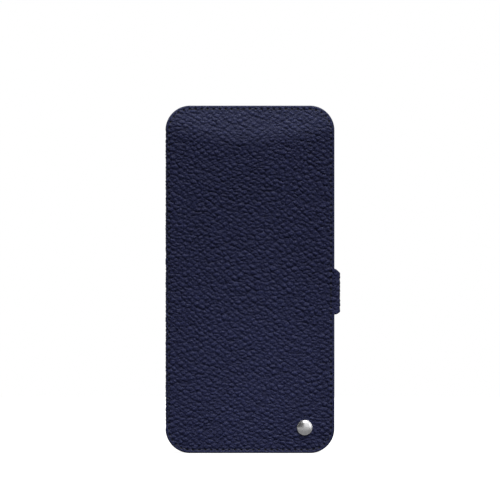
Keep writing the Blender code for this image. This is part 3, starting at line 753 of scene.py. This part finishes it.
def heights(xy, free, pan, dev, stud=False):
    """Depth below the nominal face, the creases' painted shade joined with the rim's edge paint, the stitch holes' mask
    for their dip and painted shade, and the distance to the free edge, of the outer leather at xy.
    """
    e = near_dist(xy, free)
    g, crease = grain(*dev(xy[:, 0], xy[:, 1]))
    fade = 0.18 + 0.82 * smooth(0.7, 2.9, e)
    d = -GRAIN_AMP * g * fade
    b = 0.50
    x = np.clip(1 - e / b, 0, 1)
    d = d * (1 - 0.7 * x) + b * (1 - np.sqrt(np.maximum(1 - x * x, 0))) * 0.9
    crease = crease * (0.15 + 0.85 * smooth(0.6, 2.8, e))
    hole = np.zeros(len(xy))
    if pan is not None:
        line = near_dist(xy, dense(pan["base"], True, 0.12))
        d += 0.05 * np.exp(-((line / 0.55) ** 2)) - 0.03 * np.exp(-(((line - 1.0) / 0.5) ** 2))
        holes = pan["base"][::8]
        # painted shade: the stitch holes are sunk here, and this mask also turns the leather near-black in them, where
        # shade falls
        hole = np.exp(-((near_dist(xy, holes) / 0.54) ** 2))
        d = d * (1 - 0.6 * hole) + 0.45 * hole
    if stud:
        r = np.hypot(xy[:, 0] - stud_u, xy[:, 1] - stud_z)
        d = d * (1 - 0.8 * np.exp(-((r / 4.2) ** 4))) + 0.14 * np.exp(-(((r - 3.4) / 1.2) ** 2)) * (r > 0)
    # the real edge paint on the face's outer rim joins the painted crease shade in the same mask
    edge = smooth(0.55, 0.15, e)
    return d, np.clip(np.maximum(crease, edge * 0.85), 0, 1), hole, e


def rim_depth(free):
    def f(xy):
        e = near_dist(xy, free)
        return LEATHER_T + (RIM_T - LEATHER_T) * smooth(RIM_W + 0.15, RIM_W - 0.15, e)
    return f


def skin_points(pan, outline, line, first, count, fillet):
    pts = []
    on_left = pan["leg"] == 7
    for inset in (0.14, 0.32, 0.56):
        pts.append((pan["base"] + pan["nrm"] * (STITCH_IN - inset))[~on_left])
        m = np.linspace(-fillet - 0.2, S_MID, 18)
        pts.append(np.stack([m, np.full(m.shape, SPINE_HI - inset)], 1))
        pts.append(np.stack([m, np.full(m.shape, SPINE_LO + inset)], 1))
    for inset in (0.88, 1.18, 1.45, 1.70, 1.95, 2.25):
        pts.append(pan["base"] + pan["nrm"] * (STITCH_IN - inset))
    rings = np.vstack(pts)
    grid = jiggle(hexes(S_MID + 0.35, pan["w"], 0.2, H, 0.462), 0.10, 71)
    ins = sdf_in(pan, grid)
    in_panel = ins > 2.5
    left = (grid[:, 0] < 0.60) & (grid[:, 1] > SPINE_LO + 0.8) & (grid[:, 1] < SPINE_HI - 0.8)
    s, z = grid[:, 0], np.maximum(grid[:, 1], SPINE_LO + SPINE_HI - grid[:, 1])
    shoulder = (s > -fillet) & (s < 0.65) & (z > SPINE_HI - 0.8) & (z < SPINE_HI + fillet)
    shoulder &= np.hypot(s + fillet, z - SPINE_HI - fillet) > fillet + 0.36
    grid = grid[in_panel | left | shoulder]
    return np.vstack([rings, grid])


def low_points(pan, fillet):
    pts = []
    for inset in (3.1, 3.5):
        b, nrm, leg, size = rr_path(pan["w"], H, pan["rs"], pan["rf"], inset, 260)
        pts.append(b)
    s = np.array([S_MID + 3, -3.0, S_ARC, -0.6, -0.1, 0.4, 0.9, 1.4])
    for x in s:
        zs = np.linspace(SPINE_LO + 3.5, SPINE_HI - 3.5, 36)
        pts.append(np.stack([np.full(zs.shape, x), zs], 1))
        for z in (3.1, 3.5):
            if x < -1:
                pts.append(np.array([(x, SPINE_LO + z - 0.3), (x, SPINE_HI - z + 0.3)]))
    grid = hexes(6, pan["w"] - 5, 6, H - 5, 7.0)
    return np.vstack(pts + [grid[sdf_in(pan, grid) > 4.2]])


def front_dev(s, z):
    return s, z


def back_dev(s, z):
    return 2 * S_MID - s, z


def skin(name, pan, outline, line, first, count, fillet, free, place, dev, flip, stud):
    state = {}

    def top(xy):
        d, crease, hole, e = heights(xy, free, pan, dev, stud)
        state["crease"], state["hole"], state["n"] = crease, hole, len(xy)
        return d

    def extra(s, z, d):
        a, b = dev(s, z)
        crease, hole = np.zeros(len(s)), np.zeros(len(s))
        crease[: state["n"]], hole[: state["n"]] = state["crease"], state["hole"]
        return {"dev": np.stack([a, b, d], 1), "crease": crease, "hole": hole}

    return solid(
        name, outline, skin_points(pan, outline, line, first, count, fillet), low_points(pan, fillet),
        place, top, rim_depth(free), [M_LEATHER, M_EDGE, M_FLESH], extra, flip,
    )


cover_skin = skin("cover_skin", COVER, cov_out, cov_line, cov_first, cov_ring, 1.6, front_free, cover_place, front_dev, False, True)
back_skin = skin("back_skin", BACK, bak_out, bak_line, bak_first, bak_ring, 0.6, back_free, back_place, back_dev, True, False)


def tab_piece():
    state = {}
    inner = []
    core = np.asarray(tab_free)
    tan = np.gradient(core, axis=0)
    nrm = np.stack([-tan[:, 1], tan[:, 0]], 1)
    nrm /= np.linalg.norm(nrm, axis=1)[:, None]
    for inset in (0.14, 0.32, 0.56, 0.88):
        ring = core[2:-2] + nrm[2:-2] * inset
        inner.append(ring)
    grid = jiggle(hexes(W_COVER + 0.35, TAB_END, root_lo, root_hi, 0.45), 0.10, 72)
    e = near_dist(grid, dense(tab_free))
    up = np.array([TAB_Z + float(tab_side(1, s - W_COVER)) for s in grid[:, 0]])
    dn = np.array([TAB_Z - float(tab_side(-1, s - W_COVER)) for s in grid[:, 0]])
    grid = grid[(e > 1.15) & (grid[:, 1] < up) & (grid[:, 1] > dn)]
    inner.append(grid)
    low = []
    for x in np.arange(W_COVER + 0.6, W_COVER + TAB_ARC + 0.1, 0.5):
        zs = np.linspace(root_lo + 2.6, root_hi - 2.6, 12)
        low.append(np.stack([np.full(zs.shape, x), zs], 1))
    g = hexes(W_COVER + TAB_ARC + 1, TAB_END - 1.5, TAB_Z - 8, TAB_Z + 8, 2.2)
    low.append(g)

    def top(xy):
        d, crease, hole, e = heights(xy, front_free, COVER, front_dev)
        state["crease"], state["hole"], state["n"] = crease, hole, len(xy)
        return d

    def extra(s, z, d):
        crease, hole = np.zeros(len(s)), np.zeros(len(s))
        crease[: state["n"]], hole[: state["n"]] = state["crease"], state["hole"]
        return {"dev": np.stack([s, z, d], 1), "crease": crease, "hole": hole}

    return solid("tab_skin", tab_out, np.vstack(inner), np.vstack(low), tab_place, top,
                 lambda xy: np.full(len(xy), 2.0), [M_LEATHER, M_EDGE, M_FLESH], extra)


tab_skin = tab_piece()


# ---------------------------------------------------------------- stitching
def stitches(name, pts, closed, place, depth, dev, radius=0.19, sides=7, lift=0.02, dip=0.5, flip=False, gap=0.44):
    """Separate stitches, each from one of the holes in pts to the next, on the face that place maps."""
    prof = [(0.00, 1.0, 0.55), (0.07, 0.62, 0.85), (0.16, 0.22, 1.0), (0.33, 0.02, 1.0), (0.5, 0.0, 1.0),
            (0.67, 0.02, 1.0), (0.84, 0.22, 1.0), (0.93, 0.62, 0.85), (1.00, 1.0, 0.55)]
    n = len(pts)
    verts_s, verts_z, verts_d, quads, caps = [], [], [], [], []
    base = 0
    for k in range(n if closed else n - 1):
        a, b = pts[k], pts[(k + 1) % n]
        t = b - a
        ln = np.linalg.norm(t)
        t = t / ln
        side = np.array([-t[1], t[0]])
        a, b = a + t * gap, b - t * gap
        for f, low, r in prof:
            c = a + (b - a) * f
            dc = depth - lift + dip * low
            for q in range(sides):
                w = 2 * math.pi * q / sides
                p = c + side * (radius * r * math.cos(w))
                verts_s.append(p[0]); verts_z.append(p[1]); verts_d.append(dc - radius * r * 0.9 * math.sin(w))
        for i in range(len(prof) - 1):
            for q in range(sides):
                q2 = (q + 1) % sides
                quads.append((base + i * sides + q, base + i * sides + q2, base + (i + 1) * sides + q2, base + (i + 1) * sides + q))
        for q in range(1, sides - 1):
            caps.append((base, base + q + 1, base + q))
            e0 = base + (len(prof) - 1) * sides
            caps.append((e0, e0 + q, e0 + q + 1))
        base += len(prof) * sides
    s, z, d = map(np.array, (verts_s, verts_z, verts_d))
    a, b = dev(s, z)
    ob = mesh_from(name, place(s, z, d), [np.array(quads), np.array(caps)], [M_THREAD], None, flip,
                   attrs={"dev": np.stack([a * 6, b * 6, d * 6], 1)})
    bm = bmesh.new()
    bm.from_mesh(ob.data)
    bmesh.ops.recalc_face_normals(bm, faces=bm.faces)
    bm.to_mesh(ob.data)
    bm.free()
    return ob


cover_seam = stitches("cover_seam", COVER["base"][::8], True, cover_place, 0.20, front_dev)
back_seam = stitches("back_seam", BACK["base"][::8], True, back_place, 0.20, back_dev)

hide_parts("cover_leather", "spine_leather")
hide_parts("back_leather")
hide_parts("tab_leather")
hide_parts("cover_stitching")
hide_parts("back_stitching")
for o in (cover_skin, cover_seam):
    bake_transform(o)
for o in (back_skin, back_seam):
    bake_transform(o)
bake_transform(tab_skin)


# ---------------------------------------------------------------- linings across the folds
LIN_U, LIN_D, LIN_R, LIN_T = 2.05, 2.40, 0.55, 0.5   # its face on the spine, on the panel, and in the corner
LIN_ARC = LIN_U + LIN_R
L_MID = LIN_ARC - LIN_R * math.pi / 2 - (T / 2 - LIN_D - LIN_R)


def lining_fold(t, z):
    k = np.maximum(smooth(SPINE_HI + 3.5, SPINE_HI - 0.3, z) * smooth(SPINE_LO - 3.5, SPINE_LO + 0.3, z), 1e-3)
    a = np.clip((LIN_ARC - t) / LIN_R, 0, math.pi / 2) * k
    bend = t < LIN_ARC
    rest = np.maximum(LIN_ARC - LIN_R * math.pi / 2 - t, 0)
    u = np.where(bend, LIN_ARC - LIN_R / k * np.sin(a), t) - rest * (1 - k)
    v = np.where(bend, T - LIN_D - LIN_R / k * (1 - np.cos(a)), T - LIN_D) - rest * k
    return u, v, np.sin(a), -np.cos(a)


def cover_lining_place(s, z, d):
    u, v, nu, nv = lining_fold(s, z)
    return to_world(u - nu * d, v - nv * d, z)


def back_lining_place(s, z, d):
    u, v, nu, nv = lining_fold(s, z)
    return to_world(u - nu * d, (T - v) + nv * d, z)


def lining(name, pan, place, flip, seed):
    inset = 0.45
    base, nrm, leg, size = rr_path(pan["w"], H, pan["rs"], pan["rf"], inset, 400)
    ring = base[leg < 7]
    lo_z, hi_z = SPINE_LO + 0.3, SPINE_HI - 0.3
    run = np.linspace(-0.3, L_MID, 9)
    top = [(inset, min(ring[-1][1], hi_z + 0.8) - 0.02), (0.1, hi_z + 0.1)] + [(x, hi_z) for x in run]
    low = [(x, lo_z + hi_z - z) for x, z in reversed(top)]
    m = int((hi_z - lo_z) / 1.2)
    seam = [(L_MID, z) for z in np.linspace(hi_z, lo_z, m + 1)[1:-1]]
    line = low + [tuple(p) for p in ring] + top
    outline = np.array(line + seam)
    free = dense(line, step=0.15)
    pts = []
    for i in (0.2, 0.5, 0.9):
        band = base - nrm * i
        pts.append(band[leg < 7])
    xs, zs = np.meshgrid(np.arange(0.8, 3.9, 0.3), np.arange(hi_z + 0.1, H, 0.35))
    for sign in (1, -1):                               # closer rows where the bend ends
        end = np.stack([xs.ravel(), zs.ravel() if sign > 0 else lo_z + hi_z - zs.ravel()], 1)
        pts.append(end[sdf_in(pan, end) > 1.5])
    grid = jiggle(hexes(LIN_ARC + 1.4, pan["w"], 1.0, H, 1.05), 0.2, seed)
    pts.append(grid[sdf_in(pan, grid) > 1.9])
    for x in np.arange(L_MID + 0.25, LIN_ARC + 1.2, 0.25):
        zs = np.arange(lo_z + 0.5, hi_z - 0.4, 0.75)
        pts.append(np.stack([np.full(zs.shape, x), zs], 1))
    low_grid = [hexes(4, pan["w"] - 3, 4, H - 3, 7.0)]
    for x in (L_MID + 2.5, -0.6, LIN_ARC - LIN_R * 1.57, LIN_ARC - 0.55, LIN_ARC - 0.3, LIN_ARC):
        zs = np.linspace(lo_z + 2, hi_z - 2, 30)
        low_grid.append(np.stack([np.full(zs.shape, x), zs], 1))

    def top_d(xy):
        e = near_dist(xy, free)
        x = np.clip(1 - e / 0.35, 0, 1)
        wav = 0.05 * vnoise(xy[:, 0] / 5, xy[:, 1] / 5, seed) + 0.03 * vnoise(xy[:, 0] / 1.6, xy[:, 1] / 1.6, seed + 1)
        # the board's outline shows through faintly
        step = 0.05 * smooth(3.0, 4.2, sdf_in(pan, xy))
        return 0.04 + wav - step + 0.2 * (1 - np.sqrt(np.maximum(1 - x * x, 0)))

    def extra(s, z, d):
        return {"dev": np.stack([s, z, d], 1)}

    return solid(name, outline, np.vstack(pts), np.vstack(low_grid), place, top_d,
                 lambda xy: np.full(len(xy), LIN_T), [M_SUEDE, M_SUEDE], extra, flip, bulge=0.02, rows=1)


cover_lining = lining("cover_lining_suede", COVER, cover_lining_place, True, 201)
back_lining = lining("back_lining_suede", BACK, back_lining_place, False, 211)
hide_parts("cover_lining", "spine_lining")
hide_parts("back_lining")
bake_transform(cover_lining)
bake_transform(back_lining)


# ---------------------------------------------------------------- pieces refined from the CAD's own solids
def refined(name, source, pitch, shape, mats, body, side_mat=False, sharp=40):
    """A closer mesh on the outline of a CAD solid: cut on a grid, then given its surface by shape(u, v, z, normals)."""
    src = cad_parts[source]
    bm = bmesh.new()
    bm.from_mesh(src.data)
    bmesh.ops.remove_doubles(bm, verts=bm.verts, dist=2e-6)
    bmesh.ops.dissolve_limit(bm, angle_limit=math.radians(0.5), verts=bm.verts, edges=bm.edges)
    lo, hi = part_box(source)
    p = pitch / 1000
    for axis in range(3):
        span = hi[axis] - lo[axis]
        n = int(span / p)
        if n < 2:
            continue
        nor = [0, 0, 0]
        nor[axis] = 1
        for k in range(1, n):
            at = [0, 0, 0]
            at[axis] = lo[axis] + span * k / n + 1.3e-6
            bmesh.ops.bisect_plane(bm, geom=bm.verts[:] + bm.edges[:] + bm.faces[:], dist=1e-7, plane_co=at, plane_no=nor)
    bmesh.ops.triangulate(bm, faces=bm.faces)
    bm.normal_update()
    bm.verts.ensure_lookup_table()
    co = np.array([v.co for v in bm.verts])
    nr = np.array([v.normal for v in bm.verts])
    u, v, z = co[:, 0] * 1000 + U_OFF, V_OFF - co[:, 1] * 1000, co[:, 2] * 1000
    n_uvz = np.stack([nr[:, 0], -nr[:, 1], nr[:, 2]], 1)
    push, dev, crease = shape(u, v, z, n_uvz)
    co = co + nr * (push / 1000)[:, None]
    if side_mat:
        for f in bm.faces:
            f.material_index = 1 if abs(f.normal.y) < 0.5 else 0
    me = bpy.data.meshes.new(name)
    bm.to_mesh(me)
    bm.free()
    me.vertices.foreach_set("co", co.astype(np.float32).ravel())
    for m in mats:
        me.materials.append(m)
    for key, val in (("dev", dev), ("crease", crease), ("hole", np.zeros(len(co)))):
        val = np.asarray(val, np.float32)
        at = me.attributes.new(key, "FLOAT_VECTOR" if val.ndim == 2 else "FLOAT", "POINT")
        at.data.foreach_set("vector" if val.ndim == 2 else "value", val.ravel())
    me.update()
    me.shade_smooth()
    me.set_sharp_from_angle(angle=math.radians(sharp))
    ob = bpy.data.objects.new(name, me)
    scene.collection.objects.link(ob)
    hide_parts(source)
    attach(ob, body)
    return ob


def pocket_shape(seed, free_u):
    def f(u, v, z, n):
        g, grain_crease_shade = fine_grain(u + seed * 13.7, z + seed * 5.1)
        face = np.abs(n[:, 1]) > 0.7
        line = np.exp(-(((u - free_u - 1.3) / 0.35) ** 2))
        push = np.where(face, 0.030 * g - 0.05 * line, 0.0)
        # painted shade: the crease mask darkens the grain's creases and the creased line by the open edge; off the face
        # it is 0.4
        return push, np.stack([u + 31 * seed, z, v], 1), np.where(face, grain_crease_shade * 0.5 + 0.5 * line, 0.4)
    return f


POCKETS = ("note_pocket", "card_pocket_rear", "card_pocket_middle", "card_pocket_front")
pocket_u = {}
for k, node_name in enumerate(POCKETS):
    lo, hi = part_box(node_name)
    pocket_u[node_name] = (lo[0] * 1000 + U_OFF, hi[0] * 1000 + U_OFF, lo[2] * 1000, hi[2] * 1000, V_OFF - hi[1] * 1000)
    refined(node_name + "_leather", node_name, 0.9, pocket_shape(k + 1, pocket_u[node_name][0]),
            [M_POCKET, M_EDGE], "cover", side_mat=True)


def pocket_seam(name, pts, v_face):
    ob = stitches(name, np.asarray(pts, float), False, lambda s, z, d: to_world(s, v_face + d, z), 0.10,
                  lambda s, z: (s, z), radius=0.16, dip=0.32, gap=0.22, sides=6)
    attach(ob, "cover")
    return ob


def evenly(a, b, pitch=2.6):
    a, b = np.array(a, float), np.array(b, float)
    n = max(1, int(round(np.linalg.norm(b - a) / pitch)))
    return [tuple(a + (b - a) * k / n) for k in range(n + 1)]


def round_run(points, pitch=2.6):
    """Even steps along a polyline."""
    p = dense(points, step=0.05)
    d = np.concatenate([[0], np.cumsum(np.linalg.norm(np.diff(p, axis=0), axis=1))])
    n = int(round(d[-1] / pitch))
    return np.stack([np.interp(np.linspace(0, d[-1], n + 1), d, p[:, i]) for i in (0, 1)], 1)


i = 1.4
u0, u1, z0, z1, v_face = pocket_u["note_pocket"]
corner = [(u1 - 9.0 + 7.6 * math.cos(a), z0 + 9.0 + 7.6 * math.sin(a)) for a in np.linspace(-math.pi / 2, 0, 10)]
corner2 = [(u1 - 9.0 + 7.6 * math.cos(a), z1 - 9.0 + 7.6 * math.sin(a)) for a in np.linspace(0, math.pi / 2, 10)]
pocket_seam("note_pocket_seam", round_run([(u0 + 2.2, z0 + i)] + corner + corner2 + [(u0 + 2.2, z1 - i)]), v_face)
ru0, _, cz0, cz1, rv = pocket_u["card_pocket_rear"]
mu0, _, _, _, mv = pocket_u["card_pocket_middle"]
fu0, fu1, _, _, fv = pocket_u["card_pocket_front"]
for name, a, b, v_face in (("rear", ru0, mu0, rv), ("middle", mu0, fu0, mv)):
    for end, z in (("low", cz0 + i), ("top", cz1 - i)):
        pocket_seam("card_seam_" + name + "_" + end, evenly((a + 1.2, z), (b - 0.6, z)), v_face)
c1 = [(fu1 - 3.5 + 2.1 * math.cos(a), cz0 + 3.5 + 2.1 * math.sin(a)) for a in np.linspace(-math.pi / 2, 0, 6)]
c2 = [(fu1 - 3.5 + 2.1 * math.cos(a), cz1 - 3.5 + 2.1 * math.sin(a)) for a in np.linspace(0, math.pi / 2, 6)]
pocket_seam("card_seam_front", round_run([(fu0 + 1.2, cz0 + i)] + c1 + c2 + [(fu0 + 1.2, cz1 - i)]), fv)


def tray_shape(u, v, z, n):
    sl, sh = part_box("shell_leather")
    um, zm = (sl[0] + sh[0]) * 500 + U_OFF, (sl[2] + sh[2]) * 500
    over = v - (V_OFF - sh[1] * 1000)
    a = u + np.sign(u - um) * over * np.abs(n[:, 0])
    b = z + np.sign(z - zm) * over * np.abs(n[:, 2])
    flat = np.abs(n[:, 1])
    g, grain_crease_shade = fine_grain(a * (0.55 + 0.25 * flat) + 200, b * (0.55 + 0.25 * flat) + 50)
    g2, pebble_crease_shade = grain(a + 300, b)
    streak = vnoise(a / 1.2, b / 14, 91) * np.abs(n[:, 0]) + vnoise(a / 14, b / 1.2, 92) * np.abs(n[:, 2])
    push = (0.045 * g + 0.05 * g2 * flat + 0.05 * streak) * 1.0
    # painted shade: the crease mask darkens the creases of both grains
    return push, np.stack([a, b, v], 1), np.clip(0.6 * grain_crease_shade + 0.35 * pebble_crease_shade * flat, 0, 1)


tray_skin = refined("tray_leather_skin", "shell_leather", 1.0, tray_shape, [M_TRAY], "shell", sharp=50)


def nap_shape(seed):
    def f(u, v, z, n):
        push = np.where(np.abs(n[:, 1]) > 0.7, 0.03 * vnoise(u / 2.2, z / 2.2, seed) + 0.02 * vnoise(u / 0.9, z / 0.9, seed + 1), 0.0)
        return push, np.stack([u, z, v], 1), np.zeros(len(u))
    return f


tray_lining = refined("tray_lining_suede", "shell_lining", 1.3, nap_shape(221), [M_SUEDE], "shell")


def tab_lining_shape(u, v, z, n):
    push = np.where(np.abs(n[:, 0]) > 0.7, 0.03 * vnoise(v / 1.8, z / 1.8, 231), 0.0)
    return push, np.stack([v, z, u], 1), np.zeros(len(u))


tab_lining = refined("tab_lining_suede", "tab_lining", 0.8, tab_lining_shape, [M_SUEDE], "tab")


# ---------------------------------------------------------------- stud
def lathe(name, profile, segs, mats, place, attrs_scale=1.0):
    verts, quads = [], []
    m = len(profile)
    for k in range(segs):
        a = 2 * math.pi * k / segs
        for r, w in profile:
            verts.append((r * math.cos(a), w, r * math.sin(a)))
    for k in range(segs):
        k2 = (k + 1) % segs
        for i in range(m - 1):
            quads.append((k * m + i, k2 * m + i, k2 * m + i + 1, k * m + i + 1))
    n = len(verts)
    v = np.array(verts)
    ends = []
    for idx, w in ((0, profile[0][1]), (m - 1, profile[-1][1])):
        v = np.vstack([v, [[0, w, 0]]])
        c = len(v) - 1
        for k in range(segs):
            k2 = (k + 1) % segs
            ends.append((c, k * m + idx, k2 * m + idx) if idx else (c, k2 * m + idx, k * m + idx))
    pos = place(v)
    ob = mesh_from(name, pos, [np.array(quads), np.array(ends)], mats, sharp=40,
                   attrs={"dev": np.stack([v[:, 0], v[:, 2], v[:, 1]], 1)})
    bm = bmesh.new()
    bm.from_mesh(ob.data)
    bmesh.ops.recalc_face_normals(bm, faces=bm.faces)
    bm.to_mesh(ob.data)
    bm.free()
    return ob


def metal(name, colour, rough, spread, grain_scale, aniso=0.0, depth=0.00001, attr_name=None):
    m, nt, p = mat(name)
    c = coords(nt, attr_name) if attr_name else coords(nt, None, 1000.0)
    n = noise(nt, c, grain_scale, 4.0, 0.6)
    nt.links.new(mixc(nt, ramp(nt, n, ((0.35, 0.7), (0.0, 1.0))), colour, tuple(x * 0.86 for x in colour)), p.inputs["Base Color"])
    p.inputs["Metallic"].default_value = 1.0
    nt.links.new(ramp(nt, n, ((0.3, 0.7), (rough, rough + spread))), p.inputs["Roughness"])
    bump(nt, p, noise(nt, c, grain_scale * 3, 2.0, 0.5), depth, 0.4)
    return m


M_STUD = metal("polished_stud_metal", (0.86, 0.86, 0.87), 0.15, 0.06, 1.2, attr_name="dev")
M_STEEL = metal("rolled_steel", (0.47, 0.48, 0.50), 0.32, 0.12, 0.6)
M_NICKEL = metal("nickel_plate", (0.68, 0.67, 0.64), 0.22, 0.10, 0.8)

R = (stud_hi[0] - stud_lo[0]) * 500
TOP = V_OFF - stud_lo[1] * 1000 - T
prof = []
for k in range(15):                                   # dome, from its middle out to the rim's groove
    a = k / 14
    r = (R - 0.42) * a
    prof.append((max(r, 0.02), TOP * (0.36 + 0.64 * math.sqrt(max(1 - (a * 0.93) ** 2.3, 0)))))
prof += [(R - 0.40, 0.30), (R - 0.36, 0.25), (R - 0.30, 0.27), (R - 0.20, 0.33), (R - 0.08, 0.30), (R - 0.01, 0.18),
         (R, 0.04), (R - 0.02, -0.10), (R - 0.3, -0.14), (1.0, -0.14), (1.0, -1.95), (0.6, -2.0)]
stud = lathe("stud_dome", prof, 72, [M_STUD], lambda v: to_world(stud_u + v[:, 0], T + v[:, 1], stud_z + v[:, 2]))
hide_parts("stud")
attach(stud, "cover")


# ---------------------------------------------------------------- finishes for the CAD's own pieces
def board_material():
    m, nt, p = mat("fibre_board")
    c = coords(nt, None, 1000.0)
    n = noise(nt, c, 0.5, 6.0, 0.7)
    nt.links.new(mixc(nt, n, (0.20, 0.17, 0.13), (0.40, 0.36, 0.29)), p.inputs["Base Color"])
    p.inputs["Roughness"].default_value = 0.9
    bump(nt, p, noise(nt, c, 3.0, 4.0, 0.7), 0.00005, 0.6)
    return m


def plastic_material():
    m, nt, p = mat("moulded_plastic")
    c = coords(nt, None, 1000.0)
    n = noise(nt, c, 0.3, 3.0, 0.6)
    nt.links.new(mixc(nt, n, (0.011, 0.012, 0.016), (0.018, 0.019, 0.025)), p.inputs["Base Color"])
    nt.links.new(ramp(nt, noise(nt, c, 4.0, 3.0, 0.6), ((0.3, 0.7), (0.42, 0.55))), p.inputs["Roughness"])
    bump(nt, p, noise(nt, c, 5.0, 2.0, 0.5), 0.00002, 0.5)
    return m


M_BOARD, M_PLASTIC = board_material(), plastic_material()


def dress(material, *names):
    for n in names:
        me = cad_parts[n].data
        me.materials.clear()
        me.materials.append(material)


dress(M_BOARD, "back_board", "cover_board", "spine_stiffener")
dress(M_STEEL, "tab_keeper", "stud_washer", "shell_steel_plate")
dress(M_NICKEL, "magnet_upper_left", "magnet_upper_right", "magnet_lower_left", "magnet_lower_right", "tab_magnet")
dress(M_PLASTIC, "shell_core")

lo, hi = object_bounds()
